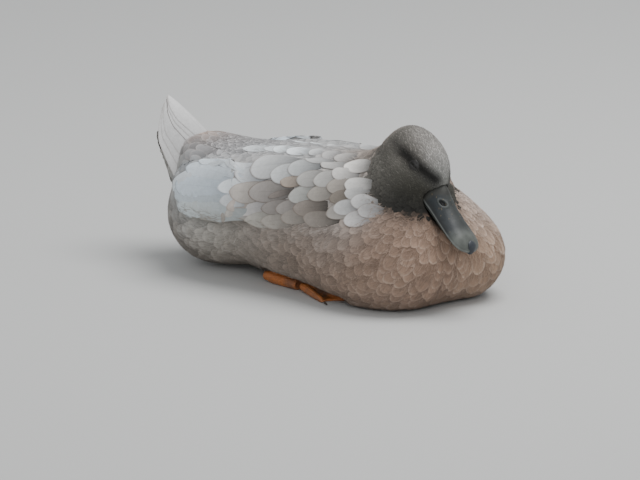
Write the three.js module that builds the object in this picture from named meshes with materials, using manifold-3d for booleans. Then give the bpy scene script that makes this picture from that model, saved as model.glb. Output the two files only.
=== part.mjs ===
// A domestic duck at rest on its belly: neck drawn in, bill tipped down in front of the breast, wings folded
// against the flanks, tail cocked. Millimetres. +X is the way the duck faces, +Y is its left and +Z is up.
// The origin is the middle of the flat on which the belly rests.
import * as THREE from "three";
import { mergeVertices } from "three/addons/utils/BufferGeometryUtils.js";
import Module from "manifold-3d";

const wasm = await Module();
wasm.setup();

// ---- Driving dimensions ----
const GAP = 0.3; // clearance between two pieces that meet
const FLOOR = 0; // height of everything that the duck rests on
const SOFT = 26; // how widely two masses of the trunk flow into each other
const SOFT_NECK = 22;
const SOFT_HEAD = 9;

const TRUNK = { rear: [-128, 0, 60], front: [70, 0, 48], rings: 28, sides: 28 };
const COLLAR = { centre: [71, -7, 106], radius: 47 }; // the dark neck is what lies inside this ball
const HEAD = { at: [94, -11.6, 94], yaw: -5, pitch: 39, roll: -9, size: 1.066, cut: 5 };
const BILL = { length: 57, buried: 9, rings: 10, sides: 14 };
const EYE = { at: [-23.5, 17.2, 18], radius: 5.4 };
const WING = { at: [-51, 49, 86], radii: [123, 19, 37], pitch: -4, roll: 33, end: -122, line: [0, 60] };
const TAIL = { // two half fans that meet in a ridge and close towards their tips
  root: [-166, 107], rootFall: [14, 21], rootHalf: 38, tip: [-216, 138], tipFall: 5, tipHalf: 9,
  up: [0.6, 0.8], buried: 0.4, half: 9.5, first: 0.07, step: 0.165,
  reach: [1, 0.985, 0.96, 0.93, 0.9, 0.86],
};
const FEATHER = { rib: 1.1, edge: 0.7, layer: 1.45, rows: 6, column: 3.4 };
const FOOT = {
  ankle: [-68, 38, 5.5], joint: [-24, 45, 4.6], bone: [6, 5], web: 2,
  toes: [[-23, 44], [0, 52], [24, 46]], toe: [4.4, 2.4], hind: 12, claw: 7,
  pocket: [[-76, 28, 48, 12.4], [-50, 25, 53, 12.2], [-26, 26, 56, 10.6], [39, 20, 82, 6.4]], // x, sides, height
};

// ---- Small helpers ----
const v3 = (x = 0, y = 0, z = 0) => new THREE.Vector3(x, y, z);
const deg = THREE.MathUtils.degToRad;
const mirrored = ([x, y, z], side) => v3(x, y * side, z);

// A smooth curve through a few [place, value] pairs, level beyond the first and the last.
function through(pairs) {
  const slope = (i) => {
    const a = pairs[Math.max(i - 1, 0)];
    const b = pairs[Math.min(i + 1, pairs.length - 1)];
    return (b[1] - a[1]) / (b[0] - a[0]);
  };
  return (x) => {
    if (x <= pairs[0][0]) return pairs[0][1];
    const i = pairs.findIndex((p) => x <= p[0]);
    if (i < 0) return pairs.at(-1)[1];
    const [x0, y0] = pairs[i - 1];
    const [x1, y1] = pairs[i];
    const h = x1 - x0;
    const t = (x - x0) / h;
    const s = 1 - t;
    return (
      (1 + 2 * t) * s * s * y0 + t * s * s * h * slope(i - 1) +
      t * t * (3 - 2 * t) * y1 - t * t * s * h * slope(i)
    );
  };
}

// ---- Flesh, as fields: negative inside, positive outside, in millimetres near the surface ----
function ellipsoid(centre, radii, turn = new THREE.Quaternion()) {
  const back = turn.clone().invert();
  return (point) => {
    const p = point.clone().sub(centre).applyQuaternion(back).divide(radii);
    const outward = p.length();
    const slope = p.clone().divide(radii).length();
    return slope > 1e-6 ? (outward * (outward - 1)) / slope : -radii.z;
  };
}

// A limb that tapers along a row of [x, y, z, radius] balls.
function limb(balls) {
  return (point) => {
    let nearest = Infinity;
    for (let i = 1; i < balls.length; i += 1) {
      const a = v3(...balls[i - 1]);
      const along = v3(...balls[i]).sub(a);
      const t = THREE.MathUtils.clamp(point.clone().sub(a).dot(along) / along.lengthSq(), 0, 1);
      const radius = THREE.MathUtils.lerp(balls[i - 1][3], balls[i][3], t);
      nearest = Math.min(nearest, a.addScaledVector(along, t).distanceTo(point) - radius);
    }
    return nearest;
  };
}

function blend(fields, softness) {
  return (point) => fields.reduce((sum, field) => {
    const d = field(point);
    if (sum === null) return d;
    const close = Math.max(softness - Math.abs(sum - d), 0);
    return Math.min(sum, d) - (close * close) / (4 * softness);
  }, null);
}

const grown = (field, by) => (point) => field(point) - by;

// ---- Solids ----
function solid(geometry) {
  return new wasm.Manifold(new wasm.Mesh({
    numProp: 3,
    vertProperties: new Float32Array(geometry.getAttribute("position").array),
    triVerts: new Uint32Array(geometry.index.array),
  }));
}

function geometryOf(body) {
  const { vertProperties, triVerts } = body.getMesh();
  const geometry = new THREE.BufferGeometry();
  geometry.setAttribute("position", new THREE.BufferAttribute(vertProperties, 3));
  geometry.setIndex(new THREE.BufferAttribute(triVerts, 1));
  geometry.computeVertexNormals();
  return geometry;
}

// Closes a row of loops, each with the same number of points, into one skin with a point at either end.
function closed(loops, first, last) {
  const sides = loops[0].length;
  const points = [first, ...loops.flat(), last];
  const index = [];
  const at = (ring, side) => 1 + ring * sides + (side % sides);
  for (let side = 0; side < sides; side += 1) {
    index.push(0, at(0, side + 1), at(0, side));
    index.push(points.length - 1, at(loops.length - 1, side), at(loops.length - 1, side + 1));
    for (let ring = 1; ring < loops.length; ring += 1) {
      index.push(at(ring - 1, side), at(ring - 1, side + 1), at(ring, side + 1));
      index.push(at(ring - 1, side), at(ring, side + 1), at(ring, side));
    }
  }
  const geometry = new THREE.BufferGeometry().setFromPoints(points);
  geometry.setIndex(index);
  return geometry;
}

const middle = (loop) => loop.reduce((sum, p) => sum.add(p), v3()).divideScalar(loop.length);
function lofted(loops) {
  const body = solid(closed(loops, middle(loops[0]), middle(loops.at(-1))));
  return body.volume() > 0 ? body : lofted([...loops].reverse());
}

// The same for thin loops that run out along one face and back along the other: each end is closed from face to face.
function slab(loops) {
  const sides = loops[0].length;
  const index = [];
  const at = (ring, side) => ring * sides + (side % sides);
  for (let side = 0; side < sides; side += 1) {
    for (let ring = 1; ring < loops.length; ring += 1) {
      index.push(at(ring - 1, side), at(ring - 1, side + 1), at(ring, side + 1));
      index.push(at(ring - 1, side), at(ring, side + 1), at(ring, side));
    }
  }
  const end = loops.length - 1;
  for (let side = 0; side < sides / 2 - 1; side += 1) {
    const far = sides - 1 - side;
    index.push(at(0, side + 1), at(0, side), at(0, far), at(0, side + 1), at(0, far), at(0, far - 1));
    index.push(at(end, side), at(end, side + 1), at(end, far), at(end, side + 1), at(end, far - 1), at(end, far));
  }
  const geometry = new THREE.BufferGeometry().setFromPoints(loops.flat());
  geometry.setIndex(index);
  const body = solid(geometry);
  return body.volume() > 0 ? body : slab([...loops].reverse());
}

// Shrinks a net of rings onto a field's surface, from rays that leave a line inside it.
function wrap(field, { rear, front, rings, sides }) {
  const from = v3(...rear);
  const to = v3(...front);
  const axis = to.clone().sub(from).normalize();
  const across = v3(0, 0, 1).cross(axis).normalize();
  const up = axis.clone().cross(across);
  const reach = (start, way) => {
    const point = start.clone();
    while (field(point) < 0) point.addScaledVector(way, 3);
    let [low, high] = [-3, 0];
    for (let step = 0; step < 14; step += 1) {
      const half = (low + high) / 2;
      if (field(point.clone().addScaledVector(way, half)) < 0) low = half;
      else high = half;
    }
    return point.addScaledVector(way, high);
  };
  const loops = [];
  for (let ring = 1; ring < rings; ring += 1) {
    const tilt = (Math.PI * ring) / rings;
    const start = from.clone().lerp(to, (1 - Math.cos(tilt)) / 2);
    loops.push(Array.from({ length: sides }, (_, side) => {
      const turn = (2 * Math.PI * side) / sides;
      const way = axis.clone().multiplyScalar(-Math.cos(tilt))
        .addScaledVector(across, Math.cos(turn) * Math.sin(tilt))
        .addScaledVector(up, Math.sin(turn) * Math.sin(tilt));
      return reach(start, way);
    }));
  }
  return solid(closed(loops, reach(from, axis.clone().negate()), reach(to, axis)));
}

// Keeps the part of a body on the side of a plane that its normal points away from, half a gap short of it.
const cutBehind = (body, plane) =>
  body.trimByPlane(plane.normal.clone().negate().toArray(), plane.constant + GAP / 2);
const cutAhead = (body, plane) => body.trimByPlane(plane.normal.toArray(), -plane.constant + GAP / 2);
const largest = (body) => body.decompose().sort((a, b) => b.volume() - a.volume())[0];

const duck = new THREE.Group();
function add(name, body, [colour, roughness]) {
  const finish = new THREE.MeshStandardMaterial({ color: colour, roughness, metalness: 0 });
  const mesh = new THREE.Mesh(geometryOf(body), finish);
  mesh.name = name;
  duck.add(mesh);
}

const HEAD_GREY = [0x5c554e, 0.9];
const BACK_GREY = [0xb3aaa2, 0.85];
const BREAST_BUFF = [0xb0907e, 0.85];
const RUMP_GREY = [0x9a8f88, 0.85];
const WING_WHITE = [0xd2d5d8, 0.7];
const TAIL_CREAM = [0xd8d2cc, 0.7];
const BILL_SLATE = [0x4a4e51, 0.5];
const NAIL_BLACK = [0x24262c, 0.4];
const EYE_BROWN = [0x1d1612, 0.1];
const FOOT_ORANGE = [0xa8693c, 0.6];
const CLAW_HORN = [0x3a302a, 0.5];

// ---- Head frame: x along the cutting edge of the bill, z to the crown, origin midway between the gapes ----
const headTurn = new THREE.Quaternion().setFromEuler(
  new THREE.Euler(deg(HEAD.roll), deg(HEAD.pitch), deg(HEAD.yaw), "ZYX"));
const headPose = new THREE.Matrix4().compose(
  v3(...HEAD.at), headTurn, v3(HEAD.size, HEAD.size, HEAD.size));
const onHead = (x, y, z) => v3(x, y, z).applyMatrix4(headPose);
const headEllipsoid = (centre, radii) =>
  ellipsoid(onHead(...centre), v3(...radii).multiplyScalar(HEAD.size), headTurn);

// ---- Masses of the trunk, the neck and the head ----
const trunkMasses = blend([
  ellipsoid(v3(58, 30, 38), v3(76, 54, 52)), // left breast
  ellipsoid(v3(54, -30, 38), v3(71, 54, 50)), // right breast, which the bill presses back
  ellipsoid(v3(-14, 0, 54), v3(124, 74, 68.5)), // ribs, back and belly
  ellipsoid(v3(-112, 0, 80), v3(78, 48, 34)), // rump
  ellipsoid(v3(-141, 28, 45), v3(47, 34, 43)), // left side of the vent
  ellipsoid(v3(-141, -28, 45), v3(47, 34, 43)), // right side of the vent
  ellipsoid(v3(-138, 0, 50), v3(50, 36, 44)), // undertail
], SOFT);
const tailTurn = new THREE.Quaternion().setFromUnitVectors(
  v3(1, 0, 0), v3(TAIL.root[0] - TAIL.tip[0], 0, TAIL.root[1] - TAIL.tip[1]).normalize());
const tailBase = ellipsoid(v3(-158, 0, 90), v3(34, 32, 16), tailTurn); // the coverts that wrap the tail's root
const rearMasses = blend([trunkMasses, tailBase], SOFT_NECK);

const neckMasses = limb([
  [60, -2, 66, 49],
  [45, -3, 92, 40],
  [49, -5, 108, 34],
  [60, -9, 120, 27],
]);
const headMasses = blend([
  headEllipsoid([-31, 0, 16], [29.5, 21, 21]), // cranium
  headEllipsoid([-46, 0, 11], [19, 19, 20.5]), // occiput and nape
  headEllipsoid([-12, 0, 12], [17, 12, 12]), // forehead
  headEllipsoid([-27, 8, 4], [21.5, 14.5, 14.5]), // left cheek
  headEllipsoid([-27, -8, 4], [21.5, 14.5, 14.5]), // right cheek
  headEllipsoid([-12, 0, 3], [12, 10.5, 9]), // lores and chin
], SOFT_HEAD);
const bodyMasses = blend([rearMasses, neckMasses], SOFT_NECK);
const flesh = blend([bodyMasses, headMasses], SOFT_HEAD);

// The way straight out of a field at a point.
function outward(field, point, step = 0.5) {
  const level = (x, y, z) => field(point.clone().add(v3(x, y, z)));
  return v3(
    level(step, 0, 0) - level(-step, 0, 0),
    level(0, step, 0) - level(0, -step, 0),
    level(0, 0, step) - level(0, 0, -step),
  ).normalize();
}

function ball(centre, radii, detail, turn = new THREE.Quaternion()) {
  const globe = new THREE.SphereGeometry(1, detail, Math.round(detail * 0.6));
  globe.applyMatrix4(new THREE.Matrix4().compose(centre, turn, radii));
  globe.deleteAttribute("normal");
  globe.deleteAttribute("uv");
  return solid(mergeVertices(globe, 1e-4));
}

// ---- Where the flesh is parted: breast from ribs, ribs from rump, neck from trunk, head from neck ----
const planeAt = (point, normal) =>
  new THREE.Plane().setFromNormalAndCoplanarPoint(v3(...normal).normalize(), v3(...point));
const SHOULDER = planeAt([40, 0, 50], [1, 0, 0]);
const CROUP = planeAt([-112, 0, 60], [-1, 0, 0]);
const collar = (by) => ball(
  v3(...COLLAR.centre), v3(1, 1, 1).multiplyScalar(COLLAR.radius + by), 18);
const inCollar = (point) =>
  Math.max(flesh(point), point.distanceTo(v3(...COLLAR.centre)) - COLLAR.radius - 6);
const skull = { rear: onHead(-36, 0, 15).toArray(), front: onHead(-14, 0, 8).toArray(), rings: 15, sides: 18 };
const hood = (by) => wrap(grown(headMasses, HEAD.cut + by), skull);
const inHood = (point) => Math.max(flesh(point), headMasses(point) - HEAD.cut - 5);

// ---- Bill: an arched upper half with a nail at its tip, closed on a flatter lower half ----
const halfWidth = through([[-9, 9.5], [0, 11.5], [12, 12.2], [27, 13.8], [42, 14.8], [50, 13.8], [54, 11], [57, 4.8]]);
const ridge = through([[-9, 20], [0, 18.6], [6, 17], [12, 14.6], [18, 12.6], [26, 10.8], [36, 9.2], [50, 6.8], [57, 2.4]]);
const fullness = through([[0, 1.7], [20, 1.9], [45, 2.3]]);
const keel = through([[-9, 6], [0, 5.5], [20, 4.4], [40, 3.2], [52, 2], [57, 1.1]]);

function billHalf(upper, by = 0) {
  const loops = [];
  for (let ring = 0; ring <= BILL.rings; ring += 1) {
    const x = -BILL.buried + (BILL.length + BILL.buried + by) * Math.sin((Math.PI / 2) * (ring / BILL.rings));
    const width = Math.max(halfWidth(x) - (upper ? 0 : 1.3), 1) + by;
    const power = 2 / (upper ? fullness(x) : 2.4);
    const height = (upper ? ridge(x) : keel(x)) + by;
    const way = upper ? 1 : -1;
    loops.push(Array.from({ length: BILL.sides }, (_, side) => {
      const turn = (2 * Math.PI * side) / BILL.sides;
      const across = Math.sign(Math.cos(turn)) * Math.abs(Math.cos(turn)) ** power;
      const rise = Math.sin(turn) > 1e-9 ? height * Math.sin(turn) ** power : GAP / 2 - by;
      return onHead(x, width * across, way * rise);
    }));
  }
  return lofted(loops);
}
const nailReach = (by) => ball(
  onHead(BILL.length - 2.5, 0, 4), v3(6.5, 5, 8).multiplyScalar(HEAD.size).addScalar(by), 12, headTurn);
const nostril = (side) => ball(
  onHead(12.5, 7.6 * side, 12.4), v3(3.6, 2, 1.6).multiplyScalar(HEAD.size), 8, headTurn);
const upperBill = billHalf(true);
const billNail = upperBill.intersect(nailReach(0));
const upperBody = upperBill.subtract(nailReach(GAP)).subtract(nostril(1)).subtract(nostril(-1));
const clearOfBill = (body) => body.subtract(billHalf(true, GAP)).subtract(billHalf(false, GAP));

// ---- Eyes: balls set in sockets of the head ----
const eye = (side, by = 0) => ball(
  onHead(EYE.at[0], EYE.at[1] * side, EYE.at[2]), v3(1, 1, 1).multiplyScalar(EYE.radius + by), 10);

// ---- Legs: the shank lies flat under the flank, the webbed foot points forward beside the belly ----
function leg(side) {
  const [ankle, joint] = [mirrored(FOOT.ankle, side), mirrored(FOOT.joint, side)];
  const rod = (from, to, start, end, rings, sides) => {
    const balls = [[...from.toArray(), start], [...to.toArray(), end]];
    const body = wrap(limb(balls), { rear: from.toArray(), front: to.toArray(), rings, sides });
    return body.trimByPlane([0, 0, 1], FLOOR);
  };
  const heading = Math.atan2(joint.y - ankle.y, joint.x - ankle.x) * 0.4;
  const ray = (angle, length, height) => v3(
    joint.x + length * Math.cos(heading + deg(angle)), joint.y + length * Math.sin(heading + deg(angle)), height);
  const toes = FOOT.toes.map(([angle, length]) => {
    const tip = ray(angle * side, length, FOOT.toe[1] * 0.8);
    const point = ray(angle * side, length + 1 + FOOT.toe[1] + FOOT.claw, 1.2);
    const nail = ray(angle * side, length + 1 + FOOT.toe[1] + 0.8, 1.6);
    return { bone: rod(joint, tip, ...FOOT.toe, 4, 6), claw: rod(nail, point, 1.5, 0.5, 4, 5), tip };
  });
  const back = joint.clone().add(v3(-2, -12 * side, 0.5));
  const heel = back.clone().add(v3(-FOOT.hind, -3 * side, -2.6));
  const spur = heel.clone().add(v3(-3, -0.7 * side, -0.6));
  const hind = { bone: rod(joint, back, 3, 2.4, 4, 6).add(rod(back, heel, 2.4, 1.6, 4, 6)),
    claw: rod(spur, spur.clone().add(v3(-4, -side, -0.2)), 1.2, 0.5, 4, 5) };
  const sheet = new THREE.Shape();
  sheet.moveTo(joint.x, joint.y);
  toes.forEach(({ tip }, i) => {
    const inner = tip.clone().lerp(joint, 0.04);
    if (i === 0) sheet.lineTo(inner.x, inner.y);
    else {
      const fold = toes[i - 1].tip.clone().add(tip).multiplyScalar(0.5).lerp(joint, 0.2);
      sheet.quadraticCurveTo(fold.x, fold.y, inner.x, inner.y);
    }
  });
  const slab = new THREE.ExtrudeGeometry(sheet, { depth: FOOT.web, bevelEnabled: false, curveSegments: 3 });
  slab.deleteAttribute("normal");
  slab.deleteAttribute("uv");
  const web = solid(mergeVertices(slab, 1e-4));
  const knuckle = ball(joint, v3(1, 1, 1).multiplyScalar(FOOT.bone[1] + 1.8), 12);
  const shank = largest(rod(ankle, joint, ...FOOT.bone, 6, 8).subtract(knuckle));
  const foot = largest(toes.reduce((sum, { bone }) => sum.add(bone), web).add(hind.bone));
  return { shank, foot, claws: [...toes.map(({ claw }) => claw), hind.claw] };
}

// ---- Trunk, neck and head, cut from the flesh and cleared of what they carry ----
const bodyNet = wrap(bodyMasses, TRUNK);
const bodyGrown = wrap(grown(bodyMasses, GAP), TRUNK);
const pocket = (side) => lofted(FOOT.pocket.map(([x, inner, outer, height]) => [
  v3(x, inner * side, FLOOR - 1), v3(x, outer * side, FLOOR - 1),
  v3(x, outer * side, height), v3(x, inner * side, height),
]));
const clearOfLegs = (body) => body.subtract(pocket(1)).subtract(pocket(-1));
const trunkParted = bodyNet.subtract(collar(GAP / 2)).subtract(hood(GAP / 2));
const trunkWhole = clearOfLegs(clearOfBill(trunkParted)).trimByPlane([0, 0, 1], FLOOR);
const neckNet = wrap(inCollar, { rear: [50, -4, 100], front: [66, -7, 94], rings: 12, sides: 16 });
const neck = clearOfBill(neckNet.intersect(collar(-GAP / 2)).subtract(hood(GAP / 2)));
const headNet = wrap(inHood, skull);
const head = clearOfBill(headNet.intersect(hood(-GAP / 2))).subtract(eye(1, GAP)).subtract(eye(-1, GAP));

// ---- Feathers: thin blades that lie in layers, each wider towards its rounded tip ----
const outline = through([[0, 0.5], [0.5, 0.72], [0.8, 0.94], [0.93, 0.8], [1, 0.3]]);
function blade(placeAt, half, layer, room = () => Infinity) {
  const columns = Math.round(half / FEATHER.column);
  const loops = [];
  for (let row = 0; row <= FEATHER.rows; row += 1) {
    const l = Math.sin((Math.PI / 2) * (row / FEATHER.rows));
    const face = (sign) => Array.from({ length: columns + 1 }, (_, column) => {
      const c = 1 - (2 * column) / columns;
      const wide = half * outline(l);
      const { point, normal } = placeAt(l, c * (c < 0 ? Math.min(wide, room(l)) : wide));
      const depth = THREE.MathUtils.lerp(FEATHER.rib, FEATHER.edge, c * c) / 2;
      return point.clone().addScaledVector(normal, layer * FEATHER.layer + sign * depth);
    });
    loops.push([...face(1), ...face(-1).reverse()]);
  }
  return slab(loops);
}

// ---- Tail: six feathers to a side, each under the one nearer the ridge ----
const tailUp = v3(TAIL.up[0], 0, TAIL.up[1]);
const fanHalf = (along) => THREE.MathUtils.lerp(TAIL.rootHalf, TAIL.tipHalf, along);
function tailFeather(side, rank) {
  const lie = TAIL.first + TAIL.step * rank;
  const alongAt = (l) => THREE.MathUtils.lerp(-TAIL.buried, TAIL.reach[rank], l);
  const placeAt = (l, across) => {
    const along = alongAt(l);
    const out = lie + across / fanHalf(along);
    const root = v3(TAIL.root[0] - TAIL.rootFall[0] * out * out, TAIL.rootHalf * out * side,
      TAIL.root[1] - TAIL.rootFall[1] * Math.abs(out) ** 1.5);
    const tip = v3(TAIL.tip[0], TAIL.tipHalf * out * side, TAIL.tip[1] - TAIL.tipFall * out * out);
    return { point: root.lerp(tip, along), normal: tailUp };
  };
  const acrossRidge = rank === 0 && side < 0; // the one feather that reaches over the ridge
  const room = (l) => (acrossRidge ? Infinity : lie * fanHalf(alongAt(l)) - GAP);
  const layer = -rank - (side > 0 ? 1 : 0);
  return largest(blade(placeAt, TAIL.half, layer, room).subtract(bodyGrown));
}

// ---- Wings: the folded arm under its coverts, and the flight feathers that leave it ----
function wingShell(side) {
  const turn = new THREE.Quaternion().setFromEuler(
    new THREE.Euler(deg(WING.roll * side), deg(WING.pitch), 0, "ZYX"));
  return ellipsoid(mirrored(WING.at, side), v3(...WING.radii), turn);
}
function wingArm(side) {
  const centre = mirrored(WING.at, side);
  const reach = v3(WING.radii[0] * 0.62, 0, 0).applyAxisAngle(v3(0, 1, 0), deg(WING.pitch));
  const arm = wrap(wingShell(side), {
    rear: centre.clone().sub(reach).toArray(), front: centre.clone().add(reach).toArray(), rings: 16, sides: 16,
  });
  const end = planeAt([WING.end, 0, 86], [-1, -0.4 * side, 0]);
  return largest(cutBehind(arm, end).subtract(bodyGrown).subtract(collar(GAP)));
}
const FLIGHT = [ // name, start and end along X, height in degrees above the flank at start and end, half width, layer
  ["primaries", -94, -166, -3, 3, 12, 1],
  ["secondaries", -76, -174, 17, 14, 19, 2.6],
  ["tertials", -90, -170, 38, 24, 12, 4.2],
];
function flightFeather(side, [, start, end, rise, lift, half, layer]) {
  const skin = blend([bodyMasses, wingShell(side)], 18);
  const placeAt = (l, across) => {
    const [y, z] = WING.line;
    const angle = deg(THREE.MathUtils.lerp(rise, lift, l)) + (side * across) / 58;
    const way = v3(0, side * Math.cos(angle), Math.sin(angle));
    const from = v3(THREE.MathUtils.lerp(start, end, l), y, z);
    let [low, high] = [20, 110];
    for (let step = 0; step < 20; step += 1) {
      const half = (low + high) / 2;
      if (skin(from.clone().addScaledVector(way, half)) < 0) low = half;
      else high = half;
    }
    const point = from.addScaledVector(way, high);
    return { point, normal: outward(skin, point) };
  };
  return blade(placeAt, half, layer);
}

// ---- The duck ----
add("trunk", largest(cutBehind(cutBehind(trunkWhole, SHOULDER), CROUP)), BACK_GREY);
add("breast", largest(cutAhead(trunkWhole, SHOULDER)), BREAST_BUFF);
add("rump", largest(cutAhead(trunkWhole, CROUP)), RUMP_GREY);
add("neck", largest(neck), HEAD_GREY);
add("head", largest(head), HEAD_GREY);
add("upper_bill", upperBody, BILL_SLATE);
add("bill_nail", billNail, NAIL_BLACK);
add("lower_bill", billHalf(false), BILL_SLATE);
for (const side of [1, -1]) {
  const name = side > 0 ? "left" : "right";
  add(`eye_${name}`, eye(side), EYE_BROWN);
  add(`wing_${name}`, wingArm(side), BACK_GREY);
  for (const feather of FLIGHT) add(`${feather[0]}_${name}`, flightFeather(side, feather), WING_WHITE);
  TAIL.reach.forEach((_, rank) => {
    add(`tail_feather_${name}_${rank + 1}`, tailFeather(side, rank), TAIL_CREAM);
  });
  const { shank, foot, claws } = leg(side);
  add(`tarsus_${name}`, shank, FOOT_ORANGE);
  add(`foot_${name}`, foot, FOOT_ORANGE);
  claws.forEach((claw, i) => add(`claw_${name}_${i + 1}`, claw, CLAW_HORN));
}

export default duck;
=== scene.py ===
# A domestic duck at rest on its belly, life-size, as a still model. Metres. +X is the way the duck faces,
# +Y is its left and +Z is up. The origin is the middle of the flat on which the belly rests.
import math

import bmesh
import bpy
import numpy as np
from mathutils import Matrix, Vector
from mathutils.bvhtree import BVHTree
from mathutils.kdtree import KDTree


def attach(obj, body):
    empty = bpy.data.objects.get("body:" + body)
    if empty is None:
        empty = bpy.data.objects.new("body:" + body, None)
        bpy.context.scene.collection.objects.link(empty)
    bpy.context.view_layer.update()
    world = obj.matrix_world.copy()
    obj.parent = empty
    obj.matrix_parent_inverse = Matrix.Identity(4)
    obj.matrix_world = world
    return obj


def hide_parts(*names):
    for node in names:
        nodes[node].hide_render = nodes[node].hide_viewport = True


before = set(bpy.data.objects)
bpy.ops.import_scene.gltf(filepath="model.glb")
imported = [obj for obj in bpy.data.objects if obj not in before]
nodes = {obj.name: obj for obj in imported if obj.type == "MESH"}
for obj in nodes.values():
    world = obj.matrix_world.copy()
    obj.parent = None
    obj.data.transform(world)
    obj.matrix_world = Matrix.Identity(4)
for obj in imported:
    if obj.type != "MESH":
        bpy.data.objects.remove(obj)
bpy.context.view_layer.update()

MM = 0.001

# ---- Camera ----
# A long lens, almost level with the back, from the duck's right and ahead of it. The whole bird fills about
# two thirds of the picture's width.
VIEW_TURN, VIEW_RISE, VIEW_AWAY = math.radians(40), math.radians(14), 12.0
PICTURE_STEP = 0.87 * MM  # what one picture point spans at the duck
ORIGIN_POINT = (357, 286)  # picture point of the duck's origin, from the upper left
view_right = Vector((math.cos(VIEW_TURN), math.sin(VIEW_TURN), 0))
view_back = Vector((math.sin(VIEW_TURN) * math.cos(VIEW_RISE), -math.cos(VIEW_TURN) * math.cos(VIEW_RISE),
                    math.sin(VIEW_RISE)))
view_up = view_back.cross(view_right)


def picture_point(u, v):
    return (view_right * (u - ORIGIN_POINT[0]) + view_up * (ORIGIN_POINT[1] - v)) * PICTURE_STEP


view_aim = picture_point(320, 240)
view_eye = view_aim + view_back * VIEW_AWAY
camera_data = bpy.data.cameras.new("camera")
camera_data.sensor_width = 36
camera_data.lens = 36 * VIEW_AWAY / (640 * PICTURE_STEP)
camera_data.clip_end = 60
camera = bpy.data.objects.new("camera", camera_data)
camera.location = view_eye
camera.rotation_mode = "QUATERNION"
camera.rotation_quaternion = (-view_back).to_track_quat("-Z", "Y")
bpy.context.scene.collection.objects.link(camera)
bpy.context.scene.camera = camera

# ---- Floor and light ----
# A pale studio floor under a broad overhead softbox, with a weaker one on the camera's side.
FLOOR_COLOUR = (0.5, 0.5, 0.49)


def plain_object(name, points, faces):
    mesh = bpy.data.meshes.new(name)
    mesh.from_pydata(points, [], faces)
    thing = bpy.data.objects.new(name, mesh)
    bpy.context.scene.collection.objects.link(thing)
    return thing


def new_material(name):
    """A material with a Principled surface, and a helper that adds a node and wires its inputs."""
    material = bpy.data.materials.new(name)
    material.use_nodes = True
    tree = material.node_tree
    surface = tree.nodes["Principled BSDF"]

    def put(kind, inputs=None, **settings):
        node = tree.nodes.new(kind)
        for key, value in settings.items():
            setattr(node, key, value)
        for key, value in (inputs or {}).items():
            if isinstance(value, bpy.types.NodeSocket):
                tree.links.new(value, node.inputs[key])
            else:
                node.inputs[key].default_value = value
        return node

    def wire(output, socket):
        tree.links.new(output, surface.inputs[socket] if isinstance(socket, str) else socket)

    return material, surface, put, wire


floor = plain_object("floor", [(-9, -9, 0), (9, -9, 0), (9, 9, 0), (-9, 9, 0)], [(0, 1, 2, 3)])
floor_material, floor_surface, put, wire = new_material("floor_paper")
floor_surface.inputs["Base Color"].default_value = (*FLOOR_COLOUR, 1)
floor_surface.inputs["Roughness"].default_value = 0.9
floor.data.materials.append(floor_material)


def softbox(name, place, aim, size, watts):
    data = bpy.data.lights.new(name, "AREA")
    data.shape, data.size, data.energy = "DISK", size, watts
    lamp = bpy.data.objects.new(name, data)
    lamp.location = place
    lamp.rotation_mode = "QUATERNION"
    lamp.rotation_quaternion = (Vector(aim) - Vector(place)).to_track_quat("-Z", "Y")
    bpy.context.scene.collection.objects.link(lamp)


softbox("softbox_top", (0.35, 0.5, 1.9), (0, 0, 0.05), 1.5, 44)
softbox("softbox_front", (1.6, -2.1, 1.2), (0, 0, 0.05), 1.6, 22)
world = bpy.data.worlds.new("studio")
world.use_nodes = True
world.node_tree.nodes["Background"].inputs["Color"].default_value = (0.94, 0.97, 1.0, 1)
world.node_tree.nodes["Background"].inputs["Strength"].default_value = 0.62
bpy.context.scene.world = world

# ---- Skin ----
# One skin wraps the trunk, breast, rump, neck, head and folded wings. It lies under the coat by the coat's
# depth, and shows only where the feathers part. It carries the same markings as they do.
FLESH = ["trunk", "breast", "rump", "neck", "head", "wing_left", "wing_right"]
HEAD_AT = np.array([94, -11.6, 94])
HEAD_YAW, HEAD_PITCH, HEAD_ROLL, HEAD_SIZE = math.radians(-5), math.radians(39), math.radians(-9), 1.066
SKIN_VOXEL = 2.0


def turn_about(axis, angle):
    c, s = math.cos(angle), math.sin(angle)
    i, j = [(1, 2), (2, 0), (0, 1)][axis]
    turn = np.eye(3)
    turn[i, i], turn[i, j], turn[j, i], turn[j, j] = c, -s, s, c
    return turn


HEAD_TURN = turn_about(2, HEAD_YAW) @ turn_about(1, HEAD_PITCH) @ turn_about(0, HEAD_ROLL)


def on_head(points):
    """From the head's own axes (x along the bill's cutting edge, z to the crown) to the duck's, millimetres."""
    return HEAD_AT + HEAD_SIZE * np.asarray(points, float) @ HEAD_TURN.T


def in_head(points):
    return (np.asarray(points, float) - HEAD_AT) @ HEAD_TURN / HEAD_SIZE


def ease(low, high, value):
    t = np.clip((np.asarray(value, float) - low) / (high - low), 0, 1)
    return t * t * (3 - 2 * t)


def unit(vectors):
    return vectors / np.maximum(np.linalg.norm(vectors, axis=-1, keepdims=True), 1e-9)


def link_mesh(name, mesh):
    thing = bpy.data.objects.new(name, mesh)
    bpy.context.scene.collection.objects.link(thing)
    return thing


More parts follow.
